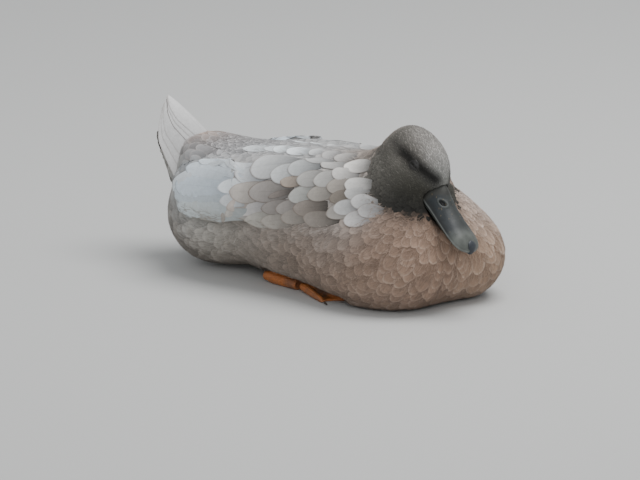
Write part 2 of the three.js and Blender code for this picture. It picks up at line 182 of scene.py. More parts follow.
class Surface:
    """A closed mesh in millimetres that feathers are laid on."""

    def __init__(self, mesh):
        mesh.calc_loop_triangles()
        count, tris = len(mesh.vertices), len(mesh.loop_triangles)
        self.points, self.normals = np.empty(count * 3), np.empty(count * 3)
        self.tris = np.empty(tris * 3, int)
        mesh.vertices.foreach_get("co", self.points)
        mesh.vertices.foreach_get("normal", self.normals)
        mesh.loop_triangles.foreach_get("vertices", self.tris)
        self.points = self.points.reshape(-1, 3) / MM
        self.normals = self.normals.reshape(-1, 3)
        self.tris = self.tris.reshape(-1, 3)
        self.tree = BVHTree.FromPolygons(self.points.tolist(), self.tris.tolist(), all_triangles=True)

    def settle(self, points):
        """The nearest places on the surface, and its smooth normals there."""
        shape = points.shape
        found = [self.tree.find_nearest(p) for p in points.reshape(-1, 3).tolist()]
        spots = np.array([f[0][:] for f in found])
        corners = self.tris[np.array([f[2] for f in found])]
        a, b, c = (self.points[corners[:, i]] for i in range(3))
        ab, ac, ap = b - a, c - a, spots - a
        d = [np.einsum("ij,ij->i", p, q) for p, q in ((ab, ab), (ab, ac), (ac, ac), (ap, ab), (ap, ac))]
        base = np.maximum(d[0] * d[2] - d[1] * d[1], 1e-12)
        v = ((d[2] * d[3] - d[1] * d[4]) / base)[:, None]
        w = ((d[0] * d[4] - d[1] * d[3]) / base)[:, None]
        na, nb, nc = (self.normals[corners[:, i]] for i in range(3))
        return spots.reshape(shape), unit(na * (1 - v - w) + nb * v + nc * w).reshape(shape)

    def seen(self, u, v):
        """The place that a picture point falls on, or None."""
        way = (picture_point(u, v) - view_eye).normalized()
        spot = self.tree.ray_cast(view_eye / MM, way)[0]
        return None if spot is None else np.array(spot[:])

    def scattered(self, spacing, seed, keep):
        """Even random places, spacing(points) apart, with the normals there."""
        rng = np.random.default_rng(seed)
        corners = self.points[self.tris]
        cross = np.cross(corners[:, 1] - corners[:, 0], corners[:, 2] - corners[:, 0])
        area = np.linalg.norm(cross, axis=1) / 2
        middle = corners.mean(1)
        wanted = np.where(keep(middle, unit(cross)), area / spacing(middle) ** 2, 0) * 5
        count = rng.poisson(wanted)
        pick = np.repeat(np.arange(len(area)), count)
        rng.shuffle(pick)
        r = rng.random((len(pick), 2))
        r = np.where(r.sum(1, keepdims=True) > 1, 1 - r, r)
        a, b, c = (corners[pick, i] for i in range(3))
        spots = a + (b - a) * r[:, :1] + (c - a) * r[:, 1:]
        near = KDTree(len(spots))
        for i, spot in enumerate(spots.tolist()):
            near.insert(spot, i)
        near.balance()
        reach = spacing(spots).tolist()
        free = np.ones(len(spots), bool)
        chosen = []
        for i, spot in enumerate(spots.tolist()):
            if free[i]:
                chosen.append(i)
                for _, j, _ in near.find_range(spot, reach[i]):
                    free[j] = False
        return self.settle(spots[chosen])


def coat_depth(points):
    far = np.linalg.norm(in_head(points) - (-24, 0, 10), axis=-1)
    return 1.1 + 1.7 * ease(26, 52, far)


def shrunk_form(name, members, hulls=(), voxel=SKIN_VOXEL, passes=26):
    """The chosen solids as one smooth mesh, brought under their surface by the coat's depth."""
    raw = bmesh.new()
    for member in members:
        raw.from_mesh(nodes[member].data)
    for group in hulls:
        shell = bmesh.new()
        for member in group:
            shell.from_mesh(nodes[member].data)
        for vert in shell.verts:
            if len(group) == 3 and vert.co.x < -0.12:  # the wing's tip feathers end a little short of their solids
                vert.co.x = -0.12 + (vert.co.x + 0.12) * 0.78
        hull = bmesh.ops.convex_hull(shell, input=shell.verts)
        bmesh.ops.delete(shell, geom=list({*hull["geom_interior"], *hull["geom_unused"]}), context="VERTS")
        part = bpy.data.meshes.new("part")
        shell.to_mesh(part)
        raw.from_mesh(part)
        shell.free()
        bpy.data.meshes.remove(part)
    bmesh.ops.remove_doubles(raw, verts=raw.verts, dist=1e-6)
    loose = bpy.data.meshes.new(name)
    raw.to_mesh(loose)
    raw.free()
    outer = BVHTree.FromPolygons([v.co[:] for v in loose.vertices], [p.vertices[:] for p in loose.polygons])
    thing = link_mesh(name, loose)
    thing.modifiers.new("remesh", "REMESH").voxel_size = voxel * MM
    smooth = thing.modifiers.new("smooth", "SMOOTH")
    smooth.factor, smooth.iterations = 0.5, passes
    mesh = bpy.data.meshes.new_from_object(thing.evaluated_get(bpy.context.evaluated_depsgraph_get()))
    thing.modifiers.clear()
    thing.data = mesh
    bpy.data.meshes.remove(loose)
    count = len(mesh.vertices)
    co, normal = np.empty(count * 3), np.empty(count * 3)
    mesh.vertices.foreach_get("co", co)
    mesh.vertices.foreach_get("normal", normal)
    co, normal = co.reshape(-1, 3), normal.reshape(-1, 3)
    out = np.zeros(count)
    for i in range(count):  # how far the smoothing has drawn each point in
        hit = outer.ray_cast(Vector(co[i] - normal[i] * 0.002), Vector(normal[i]), 0.009)
        if hit[0] is not None:
            out[i] = hit[3] - 0.002
    edges = np.array([e.vertices[:] for e in mesh.edges])
    degree = np.bincount(edges.ravel(), minlength=count)
    for _ in range(20):
        total = np.bincount(edges[:, 0], out[edges[:, 1]], count) + np.bincount(edges[:, 1], out[edges[:, 0]], count)
        out = 0.4 * out + 0.6 * total / np.maximum(degree, 1)
    co += normal * (out - coat_depth(co / MM) * MM)[:, None]
    co[:, 2] = np.maximum(co[:, 2], 0.0004)
    mesh.vertices.foreach_set("co", co.ravel())
    mesh.update()
    return thing


STACKS = ["primaries", "secondaries", "tertials"]
stack_hulls = [[f"{stack}_{side}" for stack in STACKS] for side in ("left", "right")]
tail_hull = [f"tail_feather_{side}_{i}" for side in ("left", "right") for i in range(1, 7)]
skin = shrunk_form("skin", FLESH + ["eye_left", "eye_right"], stack_hulls)
outer = shrunk_form("outer", FLESH + ["eye_left", "eye_right"], [*stack_hulls, tail_hull])
bare = Surface(skin.data)
form = Surface(outer.data)
bpy.data.objects.remove(outer)

# ---- Markings ----
# The plumage of a washed-out mallard: dark grey-brown head, pale mantle, pinkish breast and flanks, bluish
# white wings and a cream tail. Some marks also hold painted light and shade: painted light on the crown and
# forehead and on the breast's far side, painted shadow under the bill and head, and painted shade in the groove
# through the eye. Skin and feathers take their colours from here, so the two always agree.
BODY_MARKS = [  # place, reach, colour, colour of the feather's rim, how much feathers differ from each other
    ((36, -14, 124), 20, (154, 140, 128), (184, 174, 166), 0.07),  # mantle
    ((22, -46, 104), 20, (180, 177, 173), (138, 126, 120), 0.05),
    ((40, -66, 78), 20, (178, 174, 170), (150, 141, 134), 0.06),  # shoulder
    ((-10, -52, 106), 24, (184, 185, 184), (140, 132, 126), 0.05),  # scapulars
    ((-55, -60, 96), 26, (178, 178, 177), (132, 124, 118), 0.05),
    ((-90, -58, 90), 22, (184, 182, 179), (150, 144, 138), 0.05),
    ((-70, -72, 72), 18, (160, 154, 147), (132, 120, 112), 0.08),  # the wing's lower, darker coverts
    ((-30, -78, 72), 20, (150, 142, 134), (122, 112, 104), 0.09),
    ((-130, -52, 84), 24, (196, 203, 209), (168, 170, 173), 0.03),  # wing tips
    ((-150, -48, 62), 20, (182, 185, 186), (156, 154, 152), 0.04),
    ((-40, -22, 124), 26, (184, 186, 188), (206, 207, 208), 0.10),  # back
    ((-90, -20, 116), 24, (146, 148, 152), (200, 201, 203), 0.16),  # lower back
    ((-130, -16, 108), 24, (148, 145, 145), (198, 196, 195), 0.17),  # rump
    ((-152, -22, 102), 16, (92, 78, 74), (132, 117, 111), 0.12),
    ((-172, -16, 106), 11, (176, 176, 178), (200, 200, 201), 0.08),  # coverts over the tail
    ((-160, -8, 112), 9, (206, 172, 150), (214, 194, 178), 0.06),
    ((-178, -40, 70), 22, (156, 154, 146), (182, 178, 170), 0.08),  # vent
    ((-160, -60, 34), 26, (132, 124, 116), (162, 152, 144), 0.08),
    ((-175, 0, 40), 26, (158, 152, 144), (182, 176, 170), 0.08),
    ((-196, 0, 104), 16, (200, 198, 195), (212, 210, 208), 0.05),  # coverts under the tail
    ((-110, -68, 52), 24, (186, 184, 174), (200, 196, 188), 0.07),  # hind flank
    ((-70, -80, 48), 26, (164, 155, 146), (188, 178, 168), 0.07),  # flank
    ((-20, -82, 44), 28, (134, 119, 106), (162, 146, 133), 0.07),
    ((30, -78, 44), 28, (130, 110, 95), (160, 140, 126), 0.07),
    ((70, -66, 44), 26, (140, 115, 97), (172, 150, 134), 0.07),  # breast
    ((84, -52, 70), 18, (122, 100, 86), (152, 132, 118), 0.08),
    ((112, -30, 50), 26, (150, 121, 101), (182, 158, 141), 0.07),
    # the breast's far side: pinkish plumage made paler with painted rim light
    ((118, 20, 56), 24, (180, 148, 122), (208, 188, 171), 0.07),
    ((104, 34, 84), 18, (186, 172, 163), (206, 195, 188), 0.06),  # the breast's upper edge on the far side, paler with painted rim light
    ((60, 0, 4), 60, (150, 132, 120), (172, 156, 146), 0.05),  # belly
    ((-60, 0, 4), 70, (152, 142, 133), (172, 162, 154), 0.05),
]
HEAD_MARKS = [  # the same, on the head's own axes
    ((-22, 0, 38), 13, (160, 157, 153), (202, 199, 195), 0.12),  # crown, its pale-tipped feathers lighter still with painted light from above
    ((-6, 0, 25), 9, (150, 150, 146), (192, 190, 186), 0.12),  # forehead, lighter with painted light from above
    ((-38, 0, 34), 12, (128, 124, 119), (168, 163, 157), 0.12),
    ((-52, 0, 20), 15, (94, 91, 86), (126, 121, 115), 0.10),  # nape
    ((-30, -20, 22), 7, (92, 88, 82), (124, 119, 112), 0.12),  # behind the eye
    ((-36, -20, 2), 13, (124, 121, 114), (150, 146, 139), 0.10),  # cheek
    ((-34, -22, 12), 3.5, (130, 126, 119), (140, 136, 128), 0.10),
    ((-16, -15, 2), 9, (76, 75, 67), (98, 96, 88), 0.10),
    ((-2, -11, 8), 7, (60, 58, 51), (82, 80, 72), 0.08),  # lores
    ((-14, 0, -10), 14, (11, 11, 10), (16, 16, 14), 0.07),  # chin and throat: dark plumage painted near-black as the shadow under the bill and head
    ((-34, 0, -14), 15, (14, 13, 12), (20, 19, 17), 0.07),
    ((-6, -25, -8), 9, (16, 16, 14), (22, 21, 19), 0.08),  # the shade under the cheek
    ((6, -26, -9), 9, (24, 22, 20), (34, 31, 28), 0.08),
    ((-20, -38, -18), 13, (40, 38, 34), (54, 51, 47), 0.09),
    # the lower neck, darker towards the bottom with painted shade
    ((-48, 0, 0), 15, (50, 47, 43), (66, 63, 58), 0.08),
]
NECK_CENTRE, NECK_REACH = np.array([73, -7, 107]), 43


def linear(colour):
    c = np.asarray(colour, float) / 255
    return np.where(c <= 0.04045, c / 12.92, ((c + 0.055) / 1.055) ** 2.4)


def blended(points, marks):
    total = np.full(len(points), 1e-9)
    tint, rim, change = np.zeros((len(points), 3)), np.zeros((len(points), 3)), np.zeros(len(points))
    for place, reach, colour, rim_colour, differ in marks:
        weight = np.exp(-(((points - np.array(place)) ** 2).sum(1)) / (2 * reach * reach)) + 1e-12
        total += weight
        tint += weight[:, None] * linear(colour)
        rim += weight[:, None] * linear(rim_colour)
        change += weight * differ
    return tint / total[:, None], rim / total[:, None], change / total


def head_share(points, spread=0.0):
    """1 on the dark head and neck, 0 on the body; spread moves the border by millimetres."""
    reach = NECK_REACH - 13 * ease(0, 24, points[:, 1]) * ease(84, 102, points[:, 0])
    neck = np.linalg.norm(points - NECK_CENTRE, axis=1) - reach + spread
    skull = np.linalg.norm(in_head(points) - (-30, 0, 12), axis=1) * HEAD_SIZE - 34
    soft = 2.5 + 5 * ease(96, 76, points[:, 2])  # the dark fades out towards the breast
    return 1 - ease(-soft, soft, np.minimum(neck, skull))


def markings(points, spread=0.0):
    side = np.array(points)
    side[:, 1] = -np.abs(side[:, 1])
    near = points[:, 1] > 0
    front = (points[:, 0] > 84) & near  # the breast's far side, beyond the bill, keeps its own marks, which hold painted rim light
    body = blended(np.where(front[:, None], points, side), BODY_MARKS)
    local = in_head(points)
    local[:, 1] = -np.abs(local[:, 1])
    head = blended(local, HEAD_MARKS)
    share = head_share(points, spread)
    mixed = [b + (h - b) * (share[:, None] if b.ndim == 2 else share) for b, h in zip(body, head)]
    # the dark stripe that runs from the bill through the eye: partly the plumage's own eye stripe, partly painted shade
    # in the groove between brow and cheek
    along = np.clip((local[:, 0] + 3) / -44, 0, 1)
    line = np.stack([-3 - 44 * along, -9.5 - 12.5 * np.sin(along * 2.2), 20.5 + 1.5 * along - 5 * along ** 2], 1)
    stripe_and_groove_shade = (1 - ease(0.5, 9.5, np.linalg.norm(local - line, axis=1))) * share * (1 - ease(0.7, 1, along) * 0.6)
    for i, dark in ((0, (15, 14, 13)), (1, (21, 20, 18))):
        mixed[i] = mixed[i] + (linear(dark) - mixed[i]) * stripe_and_groove_shade[:, None] * 0.95
    return (*mixed, share)


def paint(mesh, name, colours):
    layer = mesh.attributes.new(name, "FLOAT_COLOR", "POINT")
    layer.data.foreach_set("color", np.concatenate([colours, np.ones((len(colours), 1))], 1).ravel())


skin_tint = markings(bare.points)[0]
paint(skin.data, "tint", skin_tint * 0.75)
skin_material, surface, put, wire = new_material("skin_and_down")
tint = put("ShaderNodeVertexColor", layer_name="tint")
place = put("ShaderNodeTexCoord").outputs["Object"]
down = put("ShaderNodeTexNoise", {"Vector": place, "Scale": 900, "Detail": 3})
dapple = put("ShaderNodeMapRange", {"Value": down.outputs["Fac"], "From Min": 0.3, "From Max": 0.7, "To Min": 0.75,
                                    "To Max": 1.15})
shade = put("ShaderNodeVectorMath", {0: tint.outputs["Color"]}, operation="SCALE")
wire(dapple.outputs["Result"], shade.inputs["Scale"])
wire(shade.outputs["Vector"], "Base Color")
bump = put("ShaderNodeBump", {"Height": down.outputs["Fac"], "Strength": 0.5, "Distance": 0.0004})
wire(bump.outputs["Normal"], "Normal")
surface.inputs["Roughness"].default_value = 0.85
surface.inputs["Specular IOR Level"].default_value = 0.25
skin.data.materials.append(skin_material)
for polygon in skin.data.polygons:
    polygon.use_smooth = True

# ---- Feathers ----
# Each feather is a closed, thin vane with a curved web on either side of its shaft. It grows out of the skin,
# follows the lie of the coat and rests on the feathers behind it, so its root is sunk and its tip is free.
def feather_web():
    """Node group: a feather's colours from its shaft to its rim, with fine barbs that slant towards the tip, and a base
    that darkens towards the root, partly its own downy grey and partly painted shade under the feathers that overlap
    it.
    """
    group = bpy.data.node_groups.new("feather_web", "ShaderNodeTree")
    for name, kind, low in (("Web", "NodeSocketVector", None), ("Tint", "NodeSocketColor", (0.5, 0.5, 0.5, 1)),
                            ("Rim", "NodeSocketColor", (0.5, 0.5, 0.5, 1)), ("Rim Width", "NodeSocketFloat", 0.1),
                            ("Barbs", "NodeSocketFloat", 60.0), ("Barb Depth", "NodeSocketFloat", 0.12),
                            ("Root Shade", "NodeSocketFloat", 0.5)):
        socket = group.interface.new_socket(name, in_out="INPUT", socket_type=kind)
        if low is not None:
            socket.default_value = low
    for name, kind in (("Colour", "NodeSocketColor"), ("Height", "NodeSocketFloat")):
        group.interface.new_socket(name, in_out="OUTPUT", socket_type=kind)
    into, out = group.nodes.new("NodeGroupInput"), group.nodes.new("NodeGroupOutput")

    def calc(operation, *values, clamp=False):
        node = group.nodes.new("ShaderNodeMath")
        node.operation, node.use_clamp = operation, clamp
        for socket, value in zip(node.inputs, values):
            if isinstance(value, bpy.types.NodeSocket):
                group.links.new(value, socket)
            else:
                socket.default_value = value
        return node.outputs[0]

    split = group.nodes.new("ShaderNodeSeparateXYZ")
    group.links.new(into.outputs["Web"], split.inputs[0])
    along = split.outputs["Y"]
    off = calc("ABSOLUTE", calc("MULTIPLY_ADD", split.outputs["X"], 2.0, -1.0))
    tip = calc("MULTIPLY", calc("SUBTRACT", along, 0.45), 1 / 0.55, clamp=True)
    reach = calc("POWER", calc("ADD", calc("POWER", off, 4.0), calc("POWER", tip, 8.0)), 1 / 4)
    wide = into.outputs["Rim Width"]
    edge = calc("DIVIDE", calc("SUBTRACT", reach, calc("SUBTRACT", 1.0, wide)), wide, clamp=True)
    slant = calc("SUBTRACT", along, calc("MULTIPLY", off, 0.35))
    barb = calc("SINE", calc("MULTIPLY", slant, calc("MULTIPLY", into.outputs["Barbs"], 6.283)))
    shaft = calc("SUBTRACT", 1.0, calc("MULTIPLY", off, 18.0), clamp=True)
    # painted shade towards the root, where the feathers above overlap it, over the feather's own downy grey base
    root_down_and_shade = calc("MULTIPLY", calc("SUBTRACT", 0.93, along), into.outputs["Root Shade"], clamp=True)
    tone = calc("ADD", 1.0, calc("MULTIPLY", barb, into.outputs["Barb Depth"]))
    tone = calc("SUBTRACT", calc("SUBTRACT", tone, root_down_and_shade), calc("MULTIPLY", shaft, 0.07))
    mix = group.nodes.new("ShaderNodeMix")
    mix.data_type = "RGBA"
    group.links.new(edge, mix.inputs["Factor"])
    group.links.new(into.outputs["Tint"], mix.inputs[6])
    group.links.new(into.outputs["Rim"], mix.inputs[7])
    scale = group.nodes.new("ShaderNodeVectorMath")
    scale.operation = "SCALE"
    group.links.new(mix.outputs[2], scale.inputs[0])
    group.links.new(tone, scale.inputs["Scale"])
    group.links.new(scale.outputs[0], out.inputs["Colour"])
    group.links.new(calc("ADD", calc("MULTIPLY", barb, 0.5), calc("MULTIPLY", shaft, 1.5)), out.inputs["Height"])
    return group


FEATHER_WEB = feather_web()


def feather_finish(name, rim_width, barbs, depth, roughness, relief, root_shade=0.5):
    material, surface, put, wire = new_material(name)
    web = put("ShaderNodeGroup", node_tree=FEATHER_WEB)
    wire(put("ShaderNodeUVMap", uv_map="Web").outputs[0], web.inputs["Web"])
    wire(put("ShaderNodeVertexColor", layer_name="tint").outputs["Color"], web.inputs["Tint"])
    wire(put("ShaderNodeVertexColor", layer_name="rim").outputs["Color"], web.inputs["Rim"])
    for socket, value in (("Rim Width", rim_width), ("Barbs", barbs), ("Barb Depth", depth),
                          ("Root Shade", root_shade)):
        web.inputs[socket].default_value = value
    place = put("ShaderNodeTexCoord").outputs["Object"]
    mottle = put("ShaderNodeTexNoise", {"Vector": place, "Scale": 260, "Detail": 4, "Roughness": 0.65})
    spread = put("ShaderNodeMapRange", {"Value": mottle.outputs["Fac"], "From Min": 0.25, "From Max": 0.75,
                                        "To Min": 0.9, "To Max": 1.1})
    toned = put("ShaderNodeVectorMath", {0: web.outputs["Colour"]}, operation="SCALE")
    wire(spread.outputs["Result"], toned.inputs["Scale"])
    wire(toned.outputs["Vector"], "Base Color")
    bump = put("ShaderNodeBump", {"Height": web.outputs["Height"], "Strength": 0.6, "Distance": relief})
    wire(bump.outputs["Normal"], "Normal")
    surface.inputs["Roughness"].default_value = roughness
    surface.inputs["Specular IOR Level"].default_value = 0.3
    return material


def lie(points, normals):
    """The way the feathers point: back over the head, down the throat, and along the body to the tail."""
    local = in_head(points)
    over_head = unit(unit(local - (13, 0, 6)) + (-0.5, 0, 0)) @ HEAD_TURN.T
    over_body = unit(points - (80, -5, 112)) + (-0.75, 0, -0.08)
    to_tail = unit(np.array([-236, 0, 132]) - points) + (-0.5, 0, 0)
    rear = ease(-100, -158, points[:, 0])[:, None]
    way = unit(over_body) * (1 - rear) + unit(to_tail) * rear
    skull = (1 - ease(32, 46, np.linalg.norm(local - (-26, 0, 12), axis=1)))[:, None]
    way = way * (1 - skull) + over_head * skull
    return unit(way - (way * normals).sum(1, keepdims=True) * normals)


def body_unwrap(points):
    """Where a root lies on the skin unrolled about the trunk: how far from the tail, and how far round."""
    girth = np.arctan2(points[:, 1] + 2, 58 - points[:, 2]) / (2 * np.pi) + 0.5
    return np.stack([0.01 + 0.98 * (points[:, 0] + 222) / 370, 0.01 + 0.98 * girth], 1)


def head_unwrap(points):
    """The same for the head, unrolled about the line from the nape to the bill."""
    local = in_head(points)
    girth = np.arctan2(local[:, 1], 6 - local[:, 2]) / (2 * np.pi) + 0.5
    return np.stack([0.01 + 0.98 * np.clip((local[:, 0] + 95) / 115, 0, 1), 0.01 + 0.98 * girth], 1)


def joined_vanes(name, top, up, thick, steps, tint, rim, material, bake_at):
    """One mesh of closed vanes from their upper faces: arrays of feather, row, column, xyz in millimetres."""
    count, rows, columns = top.shape[:3]
    across = np.linspace(-1, 1, columns)
    profile = (1 - across ** 2)[None, :] * np.sin(np.pi * np.linspace(0.03, 0.97, rows))[:, None] ** 0.5
    under = top - up * (thick * profile)[None, ..., None]
    keep = np.zeros((rows, columns), bool)
    keep[1:-1, 1:-1] = True
    above = np.arange(rows * columns).reshape(rows, columns)
    below = above.copy()
    below[keep] = rows * columns + np.arange(keep.sum())
    upper = np.stack([above[:-1, :-1], above[:-1, 1:], above[1:, 1:], above[1:, :-1]], -1).reshape(-1, 4)
    lower = np.stack([below[:-1, :-1], below[1:, :-1], below[1:, 1:], below[:-1, 1:]], -1).reshape(-1, 4)
    per = rows * columns + int(keep.sum())
    points = np.concatenate([top.reshape(count, -1, 3), under[:, keep]], 1)
    points[..., 2] = np.maximum(points[..., 2], 0.25)
    faces = (np.concatenate([upper, lower])[None] + np.arange(count)[:, None, None] * per).reshape(-1, 4)
    mesh = bpy.data.meshes.new(name)
    mesh.vertices.add(count * per)
    mesh.vertices.foreach_set("co", (points * MM).ravel())
    mesh.loops.add(faces.size)
    mesh.loops.foreach_set("vertex_index", faces.ravel())
    mesh.polygons.add(len(faces))
    mesh.polygons.foreach_set("loop_start", np.arange(0, faces.size, 4))
    mesh.update(calc_edges=True)
    mesh.polygons.foreach_set("use_smooth", np.ones(len(faces), bool))
    ends = np.empty(len(mesh.edges) * 2, int)
    mesh.edges.foreach_get("vertices", ends)
    border = np.append(~keep.ravel(), np.zeros(keep.sum(), bool))  # a vane's edge is sharp, its two faces smooth
    mesh.edges.foreach_set("use_edge_sharp", border[ends.reshape(-1, 2) % per].all(1))
    web = np.stack(np.broadcast_arrays((across[None, :] + 1) / 2, np.asarray(steps)[:, None]), -1)
    web = np.tile(np.concatenate([web.reshape(-1, 2), web[keep]]), (count, 1))
    mesh.uv_layers.new(name="Web").data.foreach_set("uv", web[faces.ravel()].ravel())
    bake = np.clip(np.repeat(bake_at, per, 0) + (web - 0.5) * 0.003, 0, 1)
    mesh.uv_layers.new(name="OFBake").data.foreach_set("uv", bake[faces.ravel()].ravel())
    paint(mesh, "tint", np.repeat(tint, per, 0))
    paint(mesh, "rim", np.repeat(rim, per, 0))
    mesh.materials.append(material)
    return link_mesh(name, mesh)


def tip_shape(root, bow, turn):
    """Half widths along a vane that swells from its root and ends in a round tip from turn onwards."""
    t = np.linspace(0, 1, 60)
    swell = root + (1 - root) * np.sin(np.pi / 2 * np.clip(t / turn, 0, 1)) ** bow
    return t, swell * np.sqrt(np.clip(1 - (np.clip(t - turn, 0, 1) / (1 - turn)) ** 2, 0.006, 1))


SOFT_TIP, WING_TIP, LONG_TIP = tip_shape(0.4, 1.0, 0.46), tip_shape(0.5, 1.0, 0.54), tip_shape(0.6, 0.8, 0.8)


def lay_feathers(name, roots, normals, ways, length, half, tint, rim, material, unwrap, grid=(6, 5), rise=(-0.3, 0.7),
                 camber=0.12, thick=0.1, outline=SOFT_TIP, rag=0.0, seed=1, bend=0.0, lift=1.0, surface=None, evened=0):
    """Lays feathers along a surface from their roots, row by row, and joins them; lengths in millimetres."""
    surface = surface or form
    rng = np.random.default_rng(seed)
    rows, columns = grid
    count = len(roots)
    steps = np.sin(np.linspace(0, np.pi / 2, rows)) ** 1.1
    across = np.linspace(-1, 1, columns)
    bend, lift = (np.broadcast_to(np.asarray(value, float), (count,)) for value in (bend, lift))
    spine, ups, headings = [roots], [normals], [ways]
    for i in range(1, rows):
        here, up, way = spine[-1], ups[-1], headings[-1]
        stride = steps[i] - steps[i - 1]
        turned = unit(way + np.cross(up, way) * (bend * stride)[:, None])
        there, there_up = surface.settle(here + turned * (length * stride)[:, None])
        spine.append(there)
        ups.append(there_up)
        headings.append(unit(turned - (turned * there_up).sum(1, keepdims=True) * there_up))
    spine, up, way = (np.stack(s, 1) for s in (spine, ups, headings))
    width = np.interp(steps, *outline)[None, :, None] * half[:, None, None] * across[None, None, :]
    frayed = np.abs(across) > 0.7
    width = width * (1 + rag * rng.standard_normal((count, rows, columns)) * frayed)
    lopsided = 0.12 * rng.standard_normal(count)[:, None, None]  # one web is a little wider than the other
    width = width * (1 + lopsided * np.sign(across))
    frayed_tip = rag * rng.standard_normal((count, 1, columns)) * (steps ** 8)[None, :, None] * half[:, None, None]
    flat = spine[:, :, None] + np.cross(up, way)[:, :, None] * width[..., None] + way[:, :, None] * frayed_tip[..., None]
    laid, laid_up = surface.settle(flat)
    resting = laid.copy()
    for _ in range(evened):  # a stiff feather bridges the steps under it and never sinks into them
        for values in (laid, laid_up):
            values[:, 1:-1] = values[:, 1:-1] / 2 + (values[:, :-2] + values[:, 2:]) / 4
            values[:, :, 1:-1] = values[:, :, 1:-1] / 2 + (values[:, :, :-2] + values[:, :, 2:]) / 4
        laid_up = unit(laid_up)
        laid = laid + laid_up * np.maximum(((resting - laid) * laid_up).sum(-1, keepdims=True), 0)
    height = rise[0] + (rise[1] * lift[:, None] - rise[0]) * steps[None, :]
    height = height[:, :, None] - camber * (across ** 2)[None, None, :] * (0.3 + 0.7 * steps[None, :, None])
    return joined_vanes(name, laid + laid_up * height[..., None], laid_up, thick, steps, tint, rim, material,
                        unwrap(roots))


def varied(colours, change, rng):
    return np.clip(colours * np.exp(rng.standard_normal(len(colours)) * change)[:, None], 0.004, 0.95)


# The body's own coat: small on the neck, scaly on the rump, broad and soft on the breast, flanks and belly.
def body_spacing(points):
    from_head = np.linalg.norm(in_head(points) - (-26, 0, 12), axis=-1)
    size = 1.7 + 3.9 * ease(32, 72, from_head)
    low = ease(84, 56, points[:, 2])
    size = size + 1.1 * low * ease(30, 74, from_head)
    scaly = ease(-20, -70, points[:, 0]) * ease(88, 102, points[:, 2]) * ease(50, 34, np.abs(points[:, 1]))
    return size * (1 - 0.2 * scaly)


def wing_share(points):
    """1 where the wing's own large feathers lie over the coat."""
    out = np.abs(points[:, 1])
    low = 67 - 9 * ease(-10, -40, points[:, 0])
    return ease(low, low + 11, points[:, 2]) * ease(22, 30, out) * ease(60, 48, points[:, 0])


def under_coat(points, normals):
    """Everywhere but on the face, under the wing tips and tail, and on the flat that lies on the ground."""
    face = np.linalg.norm(in_head(points) - (-26, 0, 12), axis=1) < 33
    laid, _ = form.settle(points)
    hidden = np.linalg.norm(laid - points, axis=1) > 4.5
    return ~face & ~hidden & (points[:, 2] > 1.2)


rng = np.random.default_rng(11)
spots, normals = bare.scattered(body_spacing, 3, under_coat)
spots, normals = form.settle(spots)
size = body_spacing(spots)
tint, rim, change, share = markings(spots, rng.standard_normal(len(spots)) * 1.6)
body_feather = feather_finish("body_feather", 0.4, 26, 0.035, 0.85, 0.00005)
tint = varied(tint, change, rng)
scaly = ease(-20, -70, spots[:, 0]) * ease(88, 102, spots[:, 2])
rim = tint + (rim - tint) * (0.35 + 0.5 * rng.random(len(spots)) + 0.4 * scaly)[:, None]
size = size * (0.88 + 0.3 * rng.random(len(spots)))
coats = []
for i, part in enumerate(np.array_split(np.argsort(spots[:, 0]), 4)):
    coats.append(lay_feathers(
        f"body_coat_{i + 1}", spots[part], normals[part], lie(spots[part], normals[part]), size[part] * 3.5,
        size[part] * 1.08, tint[part], rim[part], body_feather, body_unwrap, grid=(7, 7), rise=(-0.35, 0.5),
        camber=0.1, thick=0.06, outline=SOFT_TIP, rag=0.02, seed=20 + i, bend=rng.standard_normal(len(part)) * 0.3,
        lift=(1 + 0.15 * rng.standard_normal(len(part))) * (1 - 0.6 * wing_share(spots[part]))))

# Loose barbs that stray over the edges of the soft feathers and blur them.
def wisp_spacing(points):
    return 1.95 + 0 * points[..., 0]


def soft_coat(points, normals):
    return under_coat(points, normals) & (head_share(points) < 0.7) & (wing_share(points) < 0.3)


spots, normals = bare.scattered(wisp_spacing, 9, soft_coat)
spots, normals = form.settle(spots)
tint, rim, change, share = markings(spots, 1.0)
tint = varied(tint * 1.03, 0.3 * change + 0.06, rng)
for i, part in enumerate(np.array_split(np.argsort(spots[:, 0]), 2)):
    count = len(part)
    coats.append(lay_feathers(
        f"loose_barbs_{i + 1}", spots[part], normals[part], lie(spots[part], normals[part]),
        8 + 5 * rng.random(count), 0.16 + 0.12 * rng.random(count), tint[part], rim[part], body_feather, body_unwrap,
        grid=(4, 3), rise=(0.15, 0.8), camber=0.02, thick=0.05, outline=SOFT_TIP, seed=27 + i,
        bend=rng.standard_normal(count) * 0.45, lift=1 + 0.2 * rng.standard_normal(count)))

# The head's feathers are tiny, lie close and are flecked with pale tips, most of all on the crown.
def head_spacing(points):
    from_bill = np.linalg.norm(in_head(points) - (-2, 0, 8), axis=-1)
    return 0.62 + 0.36 * ease(8, 50, from_bill)


def on_skull(points, normals):
    local = in_head(points)
    skull = np.linalg.norm(local - (-26, 0, 12), axis=1) < 35
    bill = (local[:, 0] > 1.5) & (np.abs(local[:, 1]) < 13)
    slit = np.zeros(len(points), bool)
    for side in (-1, 1):
        slit |= np.linalg.norm(local - (-23.3, 21 * side, 19), axis=1) < 4.0
    return skull & ~bill & ~slit


